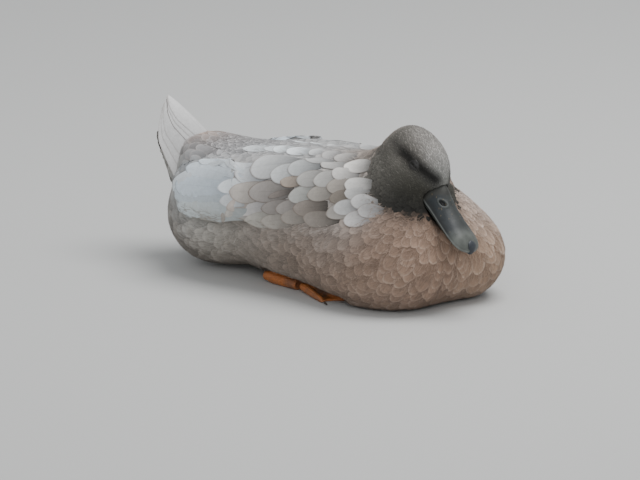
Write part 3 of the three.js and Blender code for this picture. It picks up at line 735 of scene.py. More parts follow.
spots, normals = bare.scattered(head_spacing, 5, on_skull)
size = head_spacing(spots)
tint, rim, change, share = markings(spots, 1.5)
crown = ease(20, 34, in_head(spots)[:, 2])
flecked = rng.random(len(spots)) < 0.12 + 0.3 * crown
tint = varied(tint, change, rng)
tint[flecked] += (rim[flecked] - tint[flecked]) * (0.3 + 0.7 * rng.random((flecked.sum(), 1)))
head_feather = feather_finish("head_feather", 0.3, 8, 0.04, 0.88, 0.00002)
head_coat = lay_feathers("head_coat", spots, normals, lie(spots, normals), size * 4.2, size * 0.55, tint, tint * 1.08,
                         head_feather, head_unwrap, grid=(4, 3), rise=(-0.3, 0.45), camber=0.08, thick=0.07,
                         rag=0.04, seed=31, bend=rng.standard_normal(len(spots)) * 0.3,
                         lift=1 + 0.35 * rng.standard_normal(len(spots)), surface=bare)

# ---- Wings ----
# The folded wings: long bluish-white flight feathers at the tip, then rounded tertials, scapulars and coverts
# in rows, each with a thin dark edge. Each is set by its tip, its root and its half width as the camera sees
# the right wing, and laid on the wing's surface. The left wing is its mirror image, a little changed.
FLIGHT = [  # tip, root, half width, level above the coat, web colour, rim colour
    ((187, 213), (250, 214), 8, 0.4, (204, 210, 210), (176, 178, 178)),
    ((176, 203), (244, 206), 10, 0.9, (218, 226, 228), (168, 172, 176)),
    ((174, 195), (238, 199), 9, 1.2, (214, 224, 230), (164, 169, 174)),
    ((182, 176.5), (246, 182), 8.5, 1.3, (222, 231, 238), (160, 166, 171)),
    ((172, 184.5), (236, 191), 14.5, 1.4, (218, 229, 238), (156, 162, 168)),
    ((175, 170.5), (240, 171), 5, 1.9, (230, 236, 240), (196, 200, 204)),
    ((190, 170.5), (246, 176), 6, 2.3, (230, 238, 244), (132, 136, 142)),
    ((216, 168.5), (256, 172), 4.5, 2.6, (206, 211, 214), (132, 132, 136)),
    ((225, 166), (262, 166), 4, 2.9, (208, 211, 214), (142, 140, 142)),
]
COVERTS = [
    ((219, 199), (256, 200), 8, 2.8, (214, 217, 219), (182, 180, 180)),
    ((226, 207), (262, 198), 8, 3.0, (196, 186, 178), (172, 158, 148)),
    ((217, 186), (256, 186), 8, 3.6, (240, 245, 248), (200, 203, 206)),
    ((238, 211), (276, 204), 9, 1.7, (206, 202, 200), (170, 157, 148)),
    ((229, 192), (272, 188), 11, 3.8, (187, 180, 173), (156, 144, 134)),
    ((232, 174), (276, 172), 9, 2.9, (187, 189, 191), (140, 136, 134)),
    ((238, 160), (288, 147), 5, 2.8, (216, 220, 222), (176, 176, 176)),
    ((262, 151.5), (314, 145.5), 4.5, 2.9, (216, 220, 222), (176, 174, 174)),
    ((251, 169.5), (300, 163), 13, 3.3, (200, 201, 201), (122, 112, 106)),
    ((249, 196), (294, 190), 11.5, 3.2, (164, 158, 153), (112, 96, 86)),
    ((262, 209), (298, 204), 8, 2.4, (154, 148, 143), (108, 96, 88)),
    ((276, 208), (312, 203), 8.5, 2.9, (160, 154, 149), (112, 100, 92)),
    ((271, 175), (306, 169), 9.5, 3.6, (200, 202, 202), (126, 118, 112)),
    ((270, 154.5), (302, 147.5), 5.5, 3.4, (232, 238, 240), (150, 144, 140)),
    ((284, 156.5), (316, 151), 6, 3.7, (240, 245, 248), (150, 144, 140)),
    ((281, 182), (308, 179), 5.5, 3.4, (172, 160, 148), (142, 120, 106)),
    ((289, 198), (322, 192), 9, 3.7, (182, 182, 177), (120, 108, 100)),
    ((269, 197), (293, 191), 3.2, 4.0, (138, 130, 124), (96, 84, 76)),
    ((294, 211), (328, 205), 9, 3.2, (152, 143, 135), (116, 102, 92)),
    ((288, 171), (322, 165), 8.5, 3.9, (184, 186, 186), (134, 126, 120)),
    ((297, 182), (330, 177), 8.5, 3.9, (176, 174, 170), (130, 120, 112)),
    ((308, 195), (342, 190), 8.5, 4.0, (166, 160, 152), (122, 110, 101)),
    ((308, 154), (336, 149), 6, 3.9, (204, 205, 205), (138, 131, 126)),
    ((304, 168), (336, 163), 8, 4.2, (186, 186, 185), (138, 130, 124)),
    ((314, 181), (346, 177), 8.5, 4.2, (180, 178, 174), (128, 118, 110)),
    ((321, 156.5), (348, 153), 6.5, 4.2, (184, 182, 180), (124, 115, 109)),
    ((320, 169), (350, 166), 8, 4.5, (184, 182, 179), (140, 131, 125)),
    ((333, 159.5), (358, 157), 6.5, 4.5, (180, 176, 172), (126, 116, 109)),
    ((327, 189), (358, 186), 8.5, 4.3, (162, 155, 147), (124, 113, 104)),
    ((330, 198), (360, 196), 7.5, 4.1, (132, 124, 115), (108, 96, 88)),
    ((334, 208), (364, 206), 8.5, 4.25, (206, 205, 204), (150, 142, 135)),
    ((327, 215), (362, 210), 9, 3.8, (170, 165, 159), (134, 122, 112)),
    ((332, 174), (360, 172), 7.5, 4.8, (196, 193, 189), (146, 137, 130)),
    ((345, 184), (372, 184), 7.5, 4.7, (204, 202, 198), (142, 132, 124)),
    ((346, 165), (370, 165), 6.5, 4.8, (230, 226, 220), (152, 142, 134)),
    ((350, 206), (378, 203), 8.5, 4.4, (204, 203, 202), (148, 139, 132)),
    ((344, 222), (374, 217), 9, 3.6, (200, 197, 195), (138, 124, 114)),
    ((344, 196), (370, 193), 8, 4.5, (190, 189, 187), (146, 137, 129)),
    ((358, 212), (384, 211), 8, 4.2, (186, 184, 183), (140, 128, 120)),
    ((246, 221), (284, 214), 9, 2.0, (190, 186, 178), (168, 158, 148)),
    ((262, 222), (300, 216), 9, 2.3, (176, 170, 162), (152, 142, 132)),
    ((226, 216), (262, 210), 8, 1.5, (194, 190, 184), (172, 164, 156)),
    ((282, 220), (318, 214), 9, 2.7, (164, 157, 149), (138, 126, 116)),
    ((304, 223), (340, 218), 9, 3.0, (152, 144, 136), (128, 116, 106)),
]


def seen_towards(point, safe):
    """The place under a picture point, or the nearest to it on the way to a safe one."""
    for share in np.linspace(0, 1, 21):
        spot = form.seen(*(np.asarray(point) + (np.asarray(safe) - point) * share))
        if spot is not None:
            return spot


def quill_places(table, side, rng):
    """Roots, ways and sizes of feathers set from the camera's side, for one wing."""
    rows = []
    for tip, root, half, *_ in table:
        along = np.subtract(tip, root)
        out = np.array([-along[1], along[0]]) / np.linalg.norm(along) * half
        middle = np.add(root, along * 0.6)
        a, b, c, d = (seen_towards(p, root if p is tip else middle) for p in (root, tip, middle + out, middle - out))
        a[1], b[1] = min(a[1], -13), min(b[1], -13)  # each wing keeps to its own side of the back
        wide = np.linalg.norm(c - d) / 2
        wide = min(max(wide, half * 0.8), half * 1.5)
        rows.append((a, b - a, np.linalg.norm(b - a) * 1.02, wide))
    roots, ways = (np.array([r[i] for r in rows]) for i in (0, 1))
    length, half = (np.array([r[i] for r in rows]) for i in (2, 3))
    if side > 0:
        flip = np.array([1, -1, 1])
        roots = roots * flip + rng.normal(0, 0.7, roots.shape)
        ways = ways * flip
        length, half = (value * rng.normal(1, 0.03, len(value)) for value in (length, half))
        length = length * (1.17 if table is FLIGHT else 1)
    roots, normals = form.settle(roots)
    ways = unit(ways - (ways * normals).sum(1, keepdims=True) * normals)
    inner = ease(42, 20, np.abs(roots[:, 1]))[:, None] * 0.85  # beside the back they lie as the coat does
    ways = unit(ways * (1 - inner) + lie(roots, normals) * inner)
    return roots, normals, ways, length, half


flight_feather = feather_finish("flight_feather", 0.06, 90, 0.02, 0.6, 0.00006)
# the coverts take deeper painted shade at their roots, under the feathers that overlap them
covert_feather = feather_finish("covert_feather", 0.12, 38, 0.045, 0.8, 0.00006, 0.85)
wings = []
for side, word in ((-1, "right"), (1, "left")):
    for name, table, finish, outline, thick in (("flight", FLIGHT, flight_feather, LONG_TIP, 0.2),
                                                ("covert", COVERTS, covert_feather, WING_TIP, 0.1)):
        change = np.random.default_rng(50 + side)
        roots, normals, ways, length, half = quill_places(table, side, change)
        level = np.array([row[3] for row in table])
        colour, edge = (linear([row[i] for row in table]) for i in (4, 5))
        colour = varied(colour, 0.03 if side > 0 else 0.0, change)
        edge = edge + (colour - edge) * 0.3
        wings.append(lay_feathers(
            f"{name}_feathers_{word}", roots, normals, ways, length, half, colour, edge, finish, body_unwrap,
            grid=(16, 13), rise=(0.2, 1.0), lift=0.45 + level * 0.17, camber=0.14, thick=thick, outline=outline,
            rag=0.014, evened=5, seed=60 + side, bend=change.normal(0, 0.08, len(roots))))

# ---- Tail ----
# Twelve stiff feathers in two half fans that meet in a ridge and close towards their tips, each under the one
# nearer the ridge. Cream webs, a pale shaft, and a thin grey edge where one lies on the next. The edge along the
# seam between the inner and outer feathers of each half is painted dark as the shadow in that gap.
TAIL_ROOT, TAIL_TIP, TAIL_FALL = (-166, 107), (-216, 138), (14, 21, 5)
TAIL_ROOT_HALF, TAIL_TIP_HALF, TAIL_BURIED, TAIL_HALF = 36, 8, 0.4, 9.6
TAIL_LIES = (0.07, 0.18, 0.3, 0.58, 0.7, 0.82)
TAIL_REACH = (1, 0.985, 0.96, 0.955, 0.945, 0.93)
TAIL_CREAM, TAIL_EDGE, TAIL_SEAM_SHADOW = linear((212, 211, 210)), linear((194, 190, 187)), linear((112, 104, 100))
TAIL_UP = np.array([0.6, 0, 0.8])
steps = np.sin(np.linspace(0, np.pi / 2, 18))
across = np.linspace(-1, 1, 11)
feathers, feathers_up = [], []


def on_tail(along, out):
    """A place on the tail's fan: along from its root, and out to one side of the ridge."""
    root = np.stack([TAIL_ROOT[0] - TAIL_FALL[0] * out ** 2, TAIL_ROOT_HALF * out,
                     TAIL_ROOT[1] - TAIL_FALL[1] * np.abs(out) ** 1.5], -1)
    tip = np.stack([TAIL_TIP[0] + 0 * out, TAIL_TIP_HALF * out, TAIL_TIP[1] - TAIL_FALL[2] * out ** 2], -1)
    return root + (tip - root) * along[..., None]


for side in (1, -1):
    for rank, (lies, reach) in enumerate(zip(TAIL_LIES, TAIL_REACH)):
        along = (-TAIL_BURIED + (reach + TAIL_BURIED) * steps)[:, None]
        fan = TAIL_ROOT_HALF + (TAIL_TIP_HALF - TAIL_ROOT_HALF) * along
        wide = TAIL_HALF * np.interp(steps, [0, 0.4, 0.7, 0.88, 1], [0.5, 0.8, 0.95, 0.66, 0.1])[:, None]
        inner = np.minimum(wide, np.maximum(lies * fan - 0.3, 0.5)) if not (rank == 0 and side < 0) else wide
        off = np.where(across < 0, across * inner, across * wide)
        out = lies + off / fan
        point = on_tail(along, out * side)
        layer = -rank - (1 if side > 0 else 0)
        curl = 0.5 * (1 - across ** 2)[None, :] - 0.25
        feathers.append((point + TAIL_UP * (layer * 0.6 + curl)[..., None])[:, ::side])
        feathers_up.append(np.broadcast_to(TAIL_UP, point.shape))
tail_feather = feather_finish("tail_feather", 0.09, 80, 0.03, 0.65, 0.00006)
feathers = np.array(feathers)
change = np.random.default_rng(70)
# the third feather of each half takes a dark edge: painted shadow in the seam's gap
tail_rims = np.array([TAIL_SEAM_SHADOW if rank == 2 else TAIL_EDGE for _ in range(2) for rank in range(6)])
tail = joined_vanes("tail_feathers", feathers, np.array(feathers_up), 0.55, steps,
                    varied(np.tile(TAIL_CREAM, (12, 1)), 0.05, change), tail_rims, tail_feather,
                    body_unwrap(feathers[:, 6, 5]))

# Soft coverts hide the tail feathers' roots above and below: grey-blue at the sides, buff over the middle.
def covert_spacing(points):
    return 6.4 + 0 * points[..., 0]


def over_tail_root(points, normals):
    above = (points[:, 0] < -140) & (points[:, 2] > 88) & (points[:, 0] > -186 - (points[:, 2] - 88) * 0.1)
    under = (points[:, 0] < -150) & (points[:, 2] > 52) & (points[:, 2] <= 92) & (points[:, 0] > -186)
    beneath = (points[:, 0] < -164) & (points[:, 0] > -204) & (normals[:, 2] < -0.15) & (points[:, 2] > 70)
    return above | under | beneath


spots, normals = form.scattered(covert_spacing, 41, over_tail_root)
tint, rim, change, share = markings(spots, 1.0)
tail_coverts = lay_feathers(
    "tail_coverts", spots, normals, lie(spots, normals), 17 + 5 * rng.random(len(spots)),
    5.4 + 1.6 * rng.random(len(spots)), varied(tint, change, rng), rim, body_feather, body_unwrap, grid=(9, 7),
    rise=(0.1, 0.9), camber=0.2, thick=0.1, outline=SOFT_TIP, rag=0.03, seed=42, bend=rng.standard_normal(len(spots)) * 0.2,
    lift=1 + 0.2 * rng.standard_normal(len(spots)))

# Long soft coverts fill the hollow under the fan, on a bed that thins out towards the tail's tip.
along, out = np.meshgrid(np.linspace(-0.25, 0.86, 18), np.linspace(-0.95, 0.95, 19), indexing="ij")
depth = (1.8 + 19 * (1 - ((along + 0.25) / 1.11) ** 2)) * (1 - 0.62 * out ** 2)
sunk = 1.2 + 0.6 * np.interp(np.abs(out), TAIL_LIES, np.arange(6))
bed_top = on_tail(along, out) - TAIL_UP * sunk[..., None]
bed_low = bed_top - TAIL_UP * depth[..., None]
index = np.arange(along.size).reshape(along.shape)
quads = np.stack([index[:-1, :-1], index[1:, :-1], index[1:, 1:], index[:-1, 1:]], -1).reshape(-1, 4)
rim = np.concatenate([index[:-1, 0], index[-1, :-1], index[:0:-1, -1], index[0, :0:-1]])
after = np.roll(rim, -1)
sides = np.stack([rim, after, after + along.size, rim + along.size], -1)
bed = bpy.data.meshes.new("bed")
bed.from_pydata((np.concatenate([bed_top.reshape(-1, 3), bed_low.reshape(-1, 3)]) * MM).tolist(), [],
                [*quads[:, ::-1].tolist(), *(quads + along.size).tolist(), *sides.tolist()])
work = bmesh.new()
work.from_mesh(bed)
bmesh.ops.recalc_face_normals(work, faces=work.faces)
work.to_mesh(bed)
work.free()
under_tail = Surface(bed)
bpy.data.meshes.remove(bed)
spots, normals = under_tail.scattered(lambda points: 4.6 + 0 * points[..., 0], 43,
                                      lambda points, normals: normals @ TAIL_UP < 0.3)
ways = np.array([TAIL_TIP[0], 0, TAIL_TIP[1]]) - spots
ways = unit(ways - (ways * normals).sum(1, keepdims=True) * normals)
change = np.random.default_rng(44)
tint = varied(np.tile(linear((196, 194, 191)), (len(spots), 1)), 0.05, change)
undertail_coverts = lay_feathers(
    "undertail_coverts", spots, normals, ways, 15 + 4 * change.random(len(spots)), 4.6 + change.random(len(spots)),
    tint, tint * 1.08, body_feather, body_unwrap, grid=(8, 5), rise=(-0.2, 0.8), camber=0.2, thick=0.1,
    outline=SOFT_TIP, rag=0.03, seed=45, surface=under_tail)

# ---- Bill ----
# Two horny halves that meet along a thin pale cutting edge. The upper one is arched, hollow along its ridge,
# has a slit nostril on each side and ends in a hard dark nail; the lower one is flat and fits inside it.
BILL_GAP, BILL_RINGS, BILL_ARC = 0.3, 150, 80
# the ridge's lighter colour is a painted highlight
SLATE, RIDGE_HIGHLIGHT, SLATE_LOW = (30, 35, 38), (50, 52, 49), (30, 32, 32)
# the nostril's near-black is painted shade
SLATE_TIP, CUTTING_EDGE, NOSTRIL_SHADE = (88, 91, 86), (112, 115, 111), (12, 12, 12)


def through(knots):
    """A smooth curve through (x, value) knots."""
    xs, ys = np.array(knots, float).T
    slope = np.gradient(ys, xs)

    def at(x):
        i = np.clip(np.searchsorted(xs, x) - 1, 0, len(xs) - 2)
        step = xs[i + 1] - xs[i]
        t = np.clip((x - xs[i]) / step, 0, 1)
        return ((2 * t ** 3 - 3 * t ** 2 + 1) * ys[i] + (t ** 3 - 2 * t ** 2 + t) * step * slope[i]
                + (3 * t ** 2 - 2 * t ** 3) * ys[i + 1] + (t ** 3 - t ** 2) * step * slope[i + 1])

    return at


bill_half_width = through([[-9, 9.5], [0, 11.5], [12, 12.2], [27, 13.8], [42, 14.8], [50, 13.8], [54, 11], [57, 4.8]])
bill_ridge = through([[-9, 20], [0, 18.6], [6, 17], [12, 14.6], [18, 12.6], [26, 10.8], [36, 9.2], [50, 6.8], [57, 2.4]])
bill_fullness = through([[0, 1.7], [20, 1.9], [45, 2.3]])
bill_keel = through([[-9, 6], [0, 5.5], [20, 4.4], [40, 3.2], [52, 2], [57, 1.1]])


def closed_tube(name, loops, colours, material):
    """A mesh from loops of points on the head's axes, closed at both ends, with a colour for each point."""
    rings, around = loops.shape[:2]
    ends = [loops[0].mean(0), loops[-1].mean(0)]
    index = np.arange(rings * around).reshape(rings, around)
    turned = np.roll(index, -1, 1)
    quads = np.stack([index[:-1], index[1:], turned[1:], turned[:-1]], -1).reshape(-1, 4).tolist()
    caps = [[rings * around, a, b] for a, b in zip(index[0], turned[0])]
    caps += [[rings * around + 1, b, a] for a, b in zip(index[-1], turned[-1])]
    points = on_head(np.concatenate([loops.reshape(-1, 3), ends]))
    mesh = bpy.data.meshes.new(name)
    mesh.from_pydata((points * MM).tolist(), [], quads + [[int(i) for i in cap] for cap in caps])
    paint(mesh, "tint", np.concatenate([colours.reshape(-1, 3), colours[0, :1], colours[-1, :1]]))
    work = bmesh.new()
    work.from_mesh(mesh)
    bmesh.ops.recalc_face_normals(work, faces=work.faces)
    work.to_mesh(mesh)
    work.free()
    mesh.materials.append(material)
    mesh.shade_smooth()
    return link_mesh(name, mesh)


def horn_wear():
    """Node group: the mottle, fine growth lines and small pits of horn, as a tone and a height."""
    group = bpy.data.node_groups.new("horn_wear", "ShaderNodeTree")
    for name, kind, low in (("Place", "NodeSocketVector", None), ("Mottle", "NodeSocketFloat", 0.12),
                            ("Pit Size", "NodeSocketFloat", 700.0)):
        socket = group.interface.new_socket(name, in_out="INPUT", socket_type=kind)
        if low is not None:
            socket.default_value = low
    for name in ("Tone", "Height", "Gloss"):
        group.interface.new_socket(name, in_out="OUTPUT", socket_type="NodeSocketFloat")
    into, out = group.nodes.new("NodeGroupInput"), group.nodes.new("NodeGroupOutput")
    broad, fine = (group.nodes.new("ShaderNodeTexNoise") for _ in range(2))
    for node, scale, detail in ((broad, 190, 5), (fine, 700, 3)):
        group.links.new(into.outputs["Place"], node.inputs["Vector"])
        node.inputs["Scale"].default_value, node.inputs["Detail"].default_value = scale, detail
    group.links.new(into.outputs["Pit Size"], fine.inputs["Scale"])

    def calc(operation, *values):
        node = group.nodes.new("ShaderNodeMath")
        node.operation = operation
        for socket, value in zip(node.inputs, values):
            if isinstance(value, bpy.types.NodeSocket):
                group.links.new(value, socket)
            else:
                socket.default_value = value
        return node.outputs[0]

    swing = calc("MULTIPLY", calc("SUBTRACT", broad.outputs["Fac"], 0.5), 4.0)
    grain = calc("MULTIPLY", calc("SUBTRACT", fine.outputs["Fac"], 0.5), 1.2)
    tone = calc("ADD", 1.0, calc("MULTIPLY", calc("ADD", swing, grain), into.outputs["Mottle"]))
    group.links.new(tone, out.inputs["Tone"])
    group.links.new(calc("ADD", calc("MULTIPLY", broad.outputs["Fac"], 2.0), fine.outputs["Fac"]), out.inputs["Height"])
    group.links.new(calc("ADD", 0.38, calc("MULTIPLY", broad.outputs["Fac"], 0.25)), out.inputs["Gloss"])
    return group


HORN_WEAR = horn_wear()


def horn_finish(name, mottle, pit_size, relief, colour=None):
    """Satin horn, coloured by the piece's own tint or by one colour."""
    material, surface, put, wire = new_material(name)
    wear = put("ShaderNodeGroup", node_tree=HORN_WEAR)
    wire(put("ShaderNodeTexCoord").outputs["Object"], wear.inputs["Place"])
    wear.inputs["Mottle"].default_value, wear.inputs["Pit Size"].default_value = mottle, pit_size
    toned = put("ShaderNodeVectorMath", {}, operation="SCALE")
    if colour is None:
        wire(put("ShaderNodeVertexColor", layer_name="tint").outputs["Color"], toned.inputs[0])
    else:
        toned.inputs[0].default_value = linear(colour)
    wire(wear.outputs["Tone"], toned.inputs["Scale"])
    wire(toned.outputs["Vector"], "Base Color")
    wire(wear.outputs["Gloss"], "Roughness")
    bump = put("ShaderNodeBump", {"Height": wear.outputs["Height"], "Strength": 0.5, "Distance": relief})
    wire(bump.outputs["Normal"], "Normal")
    surface.inputs["Specular IOR Level"].default_value = 0.45
    return material


bill_horn = horn_finish("bill_horn", 0.24, 900, 0.0002)
nail_horn = horn_finish("bill_nail_horn", 0.2, 1200, 0.0001, (44, 48, 54))
ring = np.linspace(0, 1, BILL_RINGS)[:, None]
x = -9 + 66 * np.sin(np.pi / 2 * ring)
turn = np.linspace(0, np.pi, BILL_ARC)[None, :]
wide, high, power = bill_half_width(x), bill_ridge(x), 2 / bill_fullness(x)
over = np.sign(np.cos(turn)) * np.abs(np.cos(turn)) ** power * wide
rise = BILL_GAP / 2 + (high - BILL_GAP / 2) * np.sin(turn) ** power
lip = np.exp(-(np.minimum(turn, np.pi - turn) / 0.16) ** 2)
over = over * (1 + 0.02 * lip)
hollow = np.exp(-((np.minimum(turn, np.pi - turn) - 0.55) / 0.3) ** 2) * ease(8, 20, x) * ease(54, 44, x)
upper = np.stack(np.broadcast_arrays(x, over, rise - 0.5 * hollow), -1)
around, along = np.gradient(upper, axis=1), np.gradient(upper, axis=0)
out = unit(np.cross(around, along))
out = out * np.sign((out * (upper - np.stack([x, 0 * x, 0 * x + 2], -1))).sum(-1, keepdims=True))
beside = np.abs(over)
reach = np.sqrt(((x - 12.5 - 0.35 * (rise - 11)) / 3.3) ** 2 + ((rise - 11) / 1.35) ** 2)
reach = np.where((beside > 3.5) & (beside < 10.5), reach, 9)
sink = 2.0 * np.sqrt(np.clip(1 - reach ** 2, 0, 1)) - 0.32 * np.exp(-((reach - 1.35) / 0.3) ** 2)
palate = np.linspace(np.pi, 2 * np.pi, 14)[1:-1][None, :]
floor_of_bill = np.stack(np.broadcast_arrays(x, wide * np.cos(palate), BILL_GAP / 2 - 0.9 * np.sin(palate)
                                             * np.clip(high / 6, 0, 1)), -1)
bill_noise = np.random.default_rng(5)
tone = linear(SLATE) * np.ones(upper.shape)


def blend_in(base, colour, share):
    return base + (linear(colour) - base) * np.clip(share, 0, 1)[..., None]


tone = blend_in(tone, SLATE_LOW, ease(6.5, 2.5, rise) * ease(46, 30, x) * 0.9)
# a painted highlight along the ridge's top, where the light falls
tone = blend_in(tone, RIDGE_HIGHLIGHT, ease(0.5, 0.12, np.abs(turn - np.pi / 2) / (np.pi / 2)) * ease(56, 40, x) * 0.6)
tone = blend_in(tone, SLATE_TIP, ease(34, 47, x) * 0.8 * np.ones_like(turn))
tone = blend_in(tone, (44, 44, 40), ease(4, 0, x - 7 * np.sin(turn) ** 3))
tone = blend_in(tone, SLATE_TIP, np.exp(-((reach - 1.35) / 0.25) ** 2) * 0.45)
tone = blend_in(tone, CUTTING_EDGE, np.exp(-((rise - 1.0) / 0.55) ** 2) * 0.75)
# painted shade in each nostril's hollow
tone = blend_in(tone, NOSTRIL_SHADE, ease(1.05, 0.75, reach))
for place in bill_noise.random((26, 3)) * (46, 2.2, 1) + (2, 0.5, 0):  # dried mud specks near the nostrils
    near = np.hypot((x - place[0] * (0.35 + 0.65 * place[2])) / 0.5, (turn - place[1]) * wide / 0.35)
    tone = blend_in(tone, (112, 98, 72), ease(1.2, 0.6, near) * 0.7)
upper_bill = closed_tube("upper_bill_horn", np.concatenate([upper - out * sink[..., None], floor_of_bill], 1),
                         np.concatenate([tone, np.broadcast_to(linear((92, 74, 70)), floor_of_bill.shape)], 1), bill_horn)

turn = np.linspace(0, 2 * np.pi, 64, endpoint=False)[None, :]
wide, high = np.maximum(bill_half_width(x) - 1.3, 1), bill_keel(x)
sides = np.sign(np.cos(turn)) * np.abs(np.cos(turn)) ** (2 / 2.4) * wide
deep = np.where(np.sin(turn) > 0, BILL_GAP / 2 + 0 * high, BILL_GAP / 2 + high * np.abs(np.sin(turn)) ** (2 / 2.4))
lower = np.stack(np.broadcast_arrays(x, sides, -deep), -1)
tone = blend_in(linear((66, 68, 66)) * np.ones(lower.shape), CUTTING_EDGE, np.exp(-((deep - 0.5) / 0.4) ** 2) * 0.5)
lower_bill = closed_tube("lower_bill_horn", lower, tone, bill_horn)

# The nail: a small shield of harder, blue-black horn that hooks over the bill's tip.
NAIL_LINE = np.array([[49.8, 6.7], [51.4, 6.7], [53, 6.25], [54.6, 5.35], [56, 4.2], [57.2, 2.9], [57.9, 1.4],
                      [58.0, -0.2], [57.6, -1.6]])
step, c = np.linspace(0, 1, 26), np.linspace(-1, 1, 19)
line = np.stack([through(np.stack([np.linspace(0, 1, 9), NAIL_LINE[:, i]], 1))(step) for i in (0, 1)], 1)
heading = unit(np.gradient(line, axis=0))
out = np.stack([-heading[:, 1], heading[:, 0]], 1)
half = 4.6 * np.sqrt(np.clip(1 - ((0.42 - np.minimum(step, 0.42)) / 0.44) ** 2, 0, 1)) * (1 - 0.3 * ease(0.55, 1, step))
plan = -(half[:, None] * c) ** 2 / 13 * ease(0.35, 0.8, step)[:, None]
crown = (line[:, None] + out[:, None] * (0.25 - 0.75 * c[None, :, None] ** 2))
shell = np.stack([crown[..., 0] + plan, half[:, None] * c[None, :], crown[..., 1]], -1)
inner = shell - np.stack([out[:, 0], 0 * out[:, 0], out[:, 1]], -1)[:, None] * 1.3
loops = np.concatenate([shell, inner[:, ::-1]], 1)
bill_nail = closed_tube("bill_nail_horn", loops, np.broadcast_to(linear((44, 48, 54)), loops.shape), nail_horn)

# A comb of thin plates stands along each cutting edge and strains food from water.
def rows_of_plates():
    """Geometry Nodes: one small rounded plate on each point, turned and sized by the point's own values."""
    tree = bpy.data.node_groups.new("rows_of_plates", "GeometryNodeTree")
    tree.interface.new_socket("Geometry", in_out="INPUT", socket_type="NodeSocketGeometry")
    for name, low in (("Plate Length", 0.001), ("Plate Width", 0.001), ("Plate Height", 0.0005), ("Variation", 0.1)):
        tree.interface.new_socket(name, in_out="INPUT", socket_type="NodeSocketFloat").default_value = low
    tree.interface.new_socket("Seed", in_out="INPUT", socket_type="NodeSocketInt").default_value = 1
    tree.interface.new_socket("Material", in_out="INPUT", socket_type="NodeSocketMaterial")
    tree.interface.new_socket("Geometry", in_out="OUTPUT", socket_type="NodeSocketGeometry")
    into, out = tree.nodes.new("NodeGroupInput"), tree.nodes.new("NodeGroupOutput")

    def step(kind, *links, **values):
        node = tree.nodes.new(kind)
        for source, socket in links:
            tree.links.new(source, node.inputs[socket])
        for key, value in values.items():
            node.inputs[key].default_value = value
        return node

    sizes = step("ShaderNodeCombineXYZ", (into.outputs["Plate Length"], 0), (into.outputs["Plate Width"], 1),
                 (into.outputs["Plate Height"], 2))
    plate = step("GeometryNodeMeshUVSphere", Segments=8, Rings=6, Radius=0.5)
    shaped = step("GeometryNodeTransform", (plate.outputs["Mesh"], "Geometry"), (sizes.outputs[0], "Scale"))
    points = step("GeometryNodeMeshToPoints", (into.outputs["Geometry"], 0))
    turn = step("GeometryNodeInputNamedAttribute", Name="turn")
    turn.data_type = "FLOAT_VECTOR"
    size = step("GeometryNodeInputNamedAttribute", Name="size")
    low = step("ShaderNodeMath", (into.outputs["Variation"], 1))
    low.operation = "SUBTRACT"
    low.inputs[0].default_value = 1.0
    high = step("ShaderNodeMath", (into.outputs["Variation"], 1))
    high.inputs[0].default_value = 1.0
    vary = step("FunctionNodeRandomValue", (low.outputs[0], 2), (high.outputs[0], 3), (into.outputs["Seed"], "Seed"))
    scale = step("ShaderNodeMath", (size.outputs["Attribute"], 0), (vary.outputs[1], 1))
    scale.operation = "MULTIPLY"
    placed = step("GeometryNodeInstanceOnPoints", (points.outputs[0], "Points"), (shaped.outputs[0], "Instance"),
                  (turn.outputs["Attribute"], "Rotation"), (scale.outputs[0], "Scale"))
    real = step("GeometryNodeRealizeInstances", (placed.outputs[0], 0))
    smooth = step("GeometryNodeSetShadeSmooth", (real.outputs[0], 0))
    final = step("GeometryNodeSetMaterial", (smooth.outputs[0], 0), (into.outputs["Material"], "Material"))
    tree.links.new(final.outputs[0], out.inputs[0])
    return tree


ROWS_OF_PLATES = rows_of_plates()


def plates_on(name, places, turns, sizes, measures, material, seed):
    """One mesh of plates at places (millimetres), turned by Euler angles; measures are length, width, height."""
    mesh = bpy.data.meshes.new(name)
    mesh.from_pydata((np.asarray(places) * MM).tolist(), [], [])
    mesh.attributes.new("turn", "FLOAT_VECTOR", "POINT").data.foreach_set("vector", np.asarray(turns, float).ravel())
    mesh.attributes.new("size", "FLOAT", "POINT").data.foreach_set("value", np.asarray(sizes, float))
    thing = link_mesh(name, mesh)
    rows = thing.modifiers.new("rows", "NODES")
    rows.node_group = ROWS_OF_PLATES
    sockets = {item.name: item.identifier for item in ROWS_OF_PLATES.interface.items_tree if item.in_out == "INPUT"}
    for key, value in zip(("Plate Length", "Plate Width", "Plate Height"), measures):
        rows[sockets[key]] = value * MM
    rows[sockets["Variation"]], rows[sockets["Seed"]], rows[sockets["Material"]] = 0.12, seed, material
    made = bpy.data.meshes.new_from_object(thing.evaluated_get(bpy.context.evaluated_depsgraph_get()))
    thing.modifiers.clear()
    thing.data = made
    bpy.data.meshes.remove(mesh)
    return thing


def frame_angles(forward, up):
    """Euler angles that turn x to forward and z to up, for each point."""
    angles = []
    for f, u in zip(forward, up):
        side = np.cross(u, f)
        angles.append(Matrix(np.stack([f, side, u], 1).tolist()).to_euler())
    return [angle[:] for angle in angles]


comb_x = np.repeat(np.arange(8, 50, 1.1), 2)
comb_side = np.tile([-1, 1], len(comb_x) // 2)
comb_at = on_head(np.stack([comb_x, (bill_half_width(comb_x) - 1.5) * comb_side, 0 * comb_x + 0.1], 1))
comb_turn = frame_angles(np.tile(HEAD_TURN @ [1, 0, 0], (len(comb_x), 1)), np.tile(HEAD_TURN @ [0, 0, 1], (len(comb_x), 1)))
comb_horn = horn_finish("comb_horn", 0.08, 1500, 0.00005, (118, 112, 96))
bill_comb = plates_on("bill_comb", comb_at, comb_turn, np.ones(len(comb_x)), (0.5, 2.2, 1.3), comb_horn, 3)

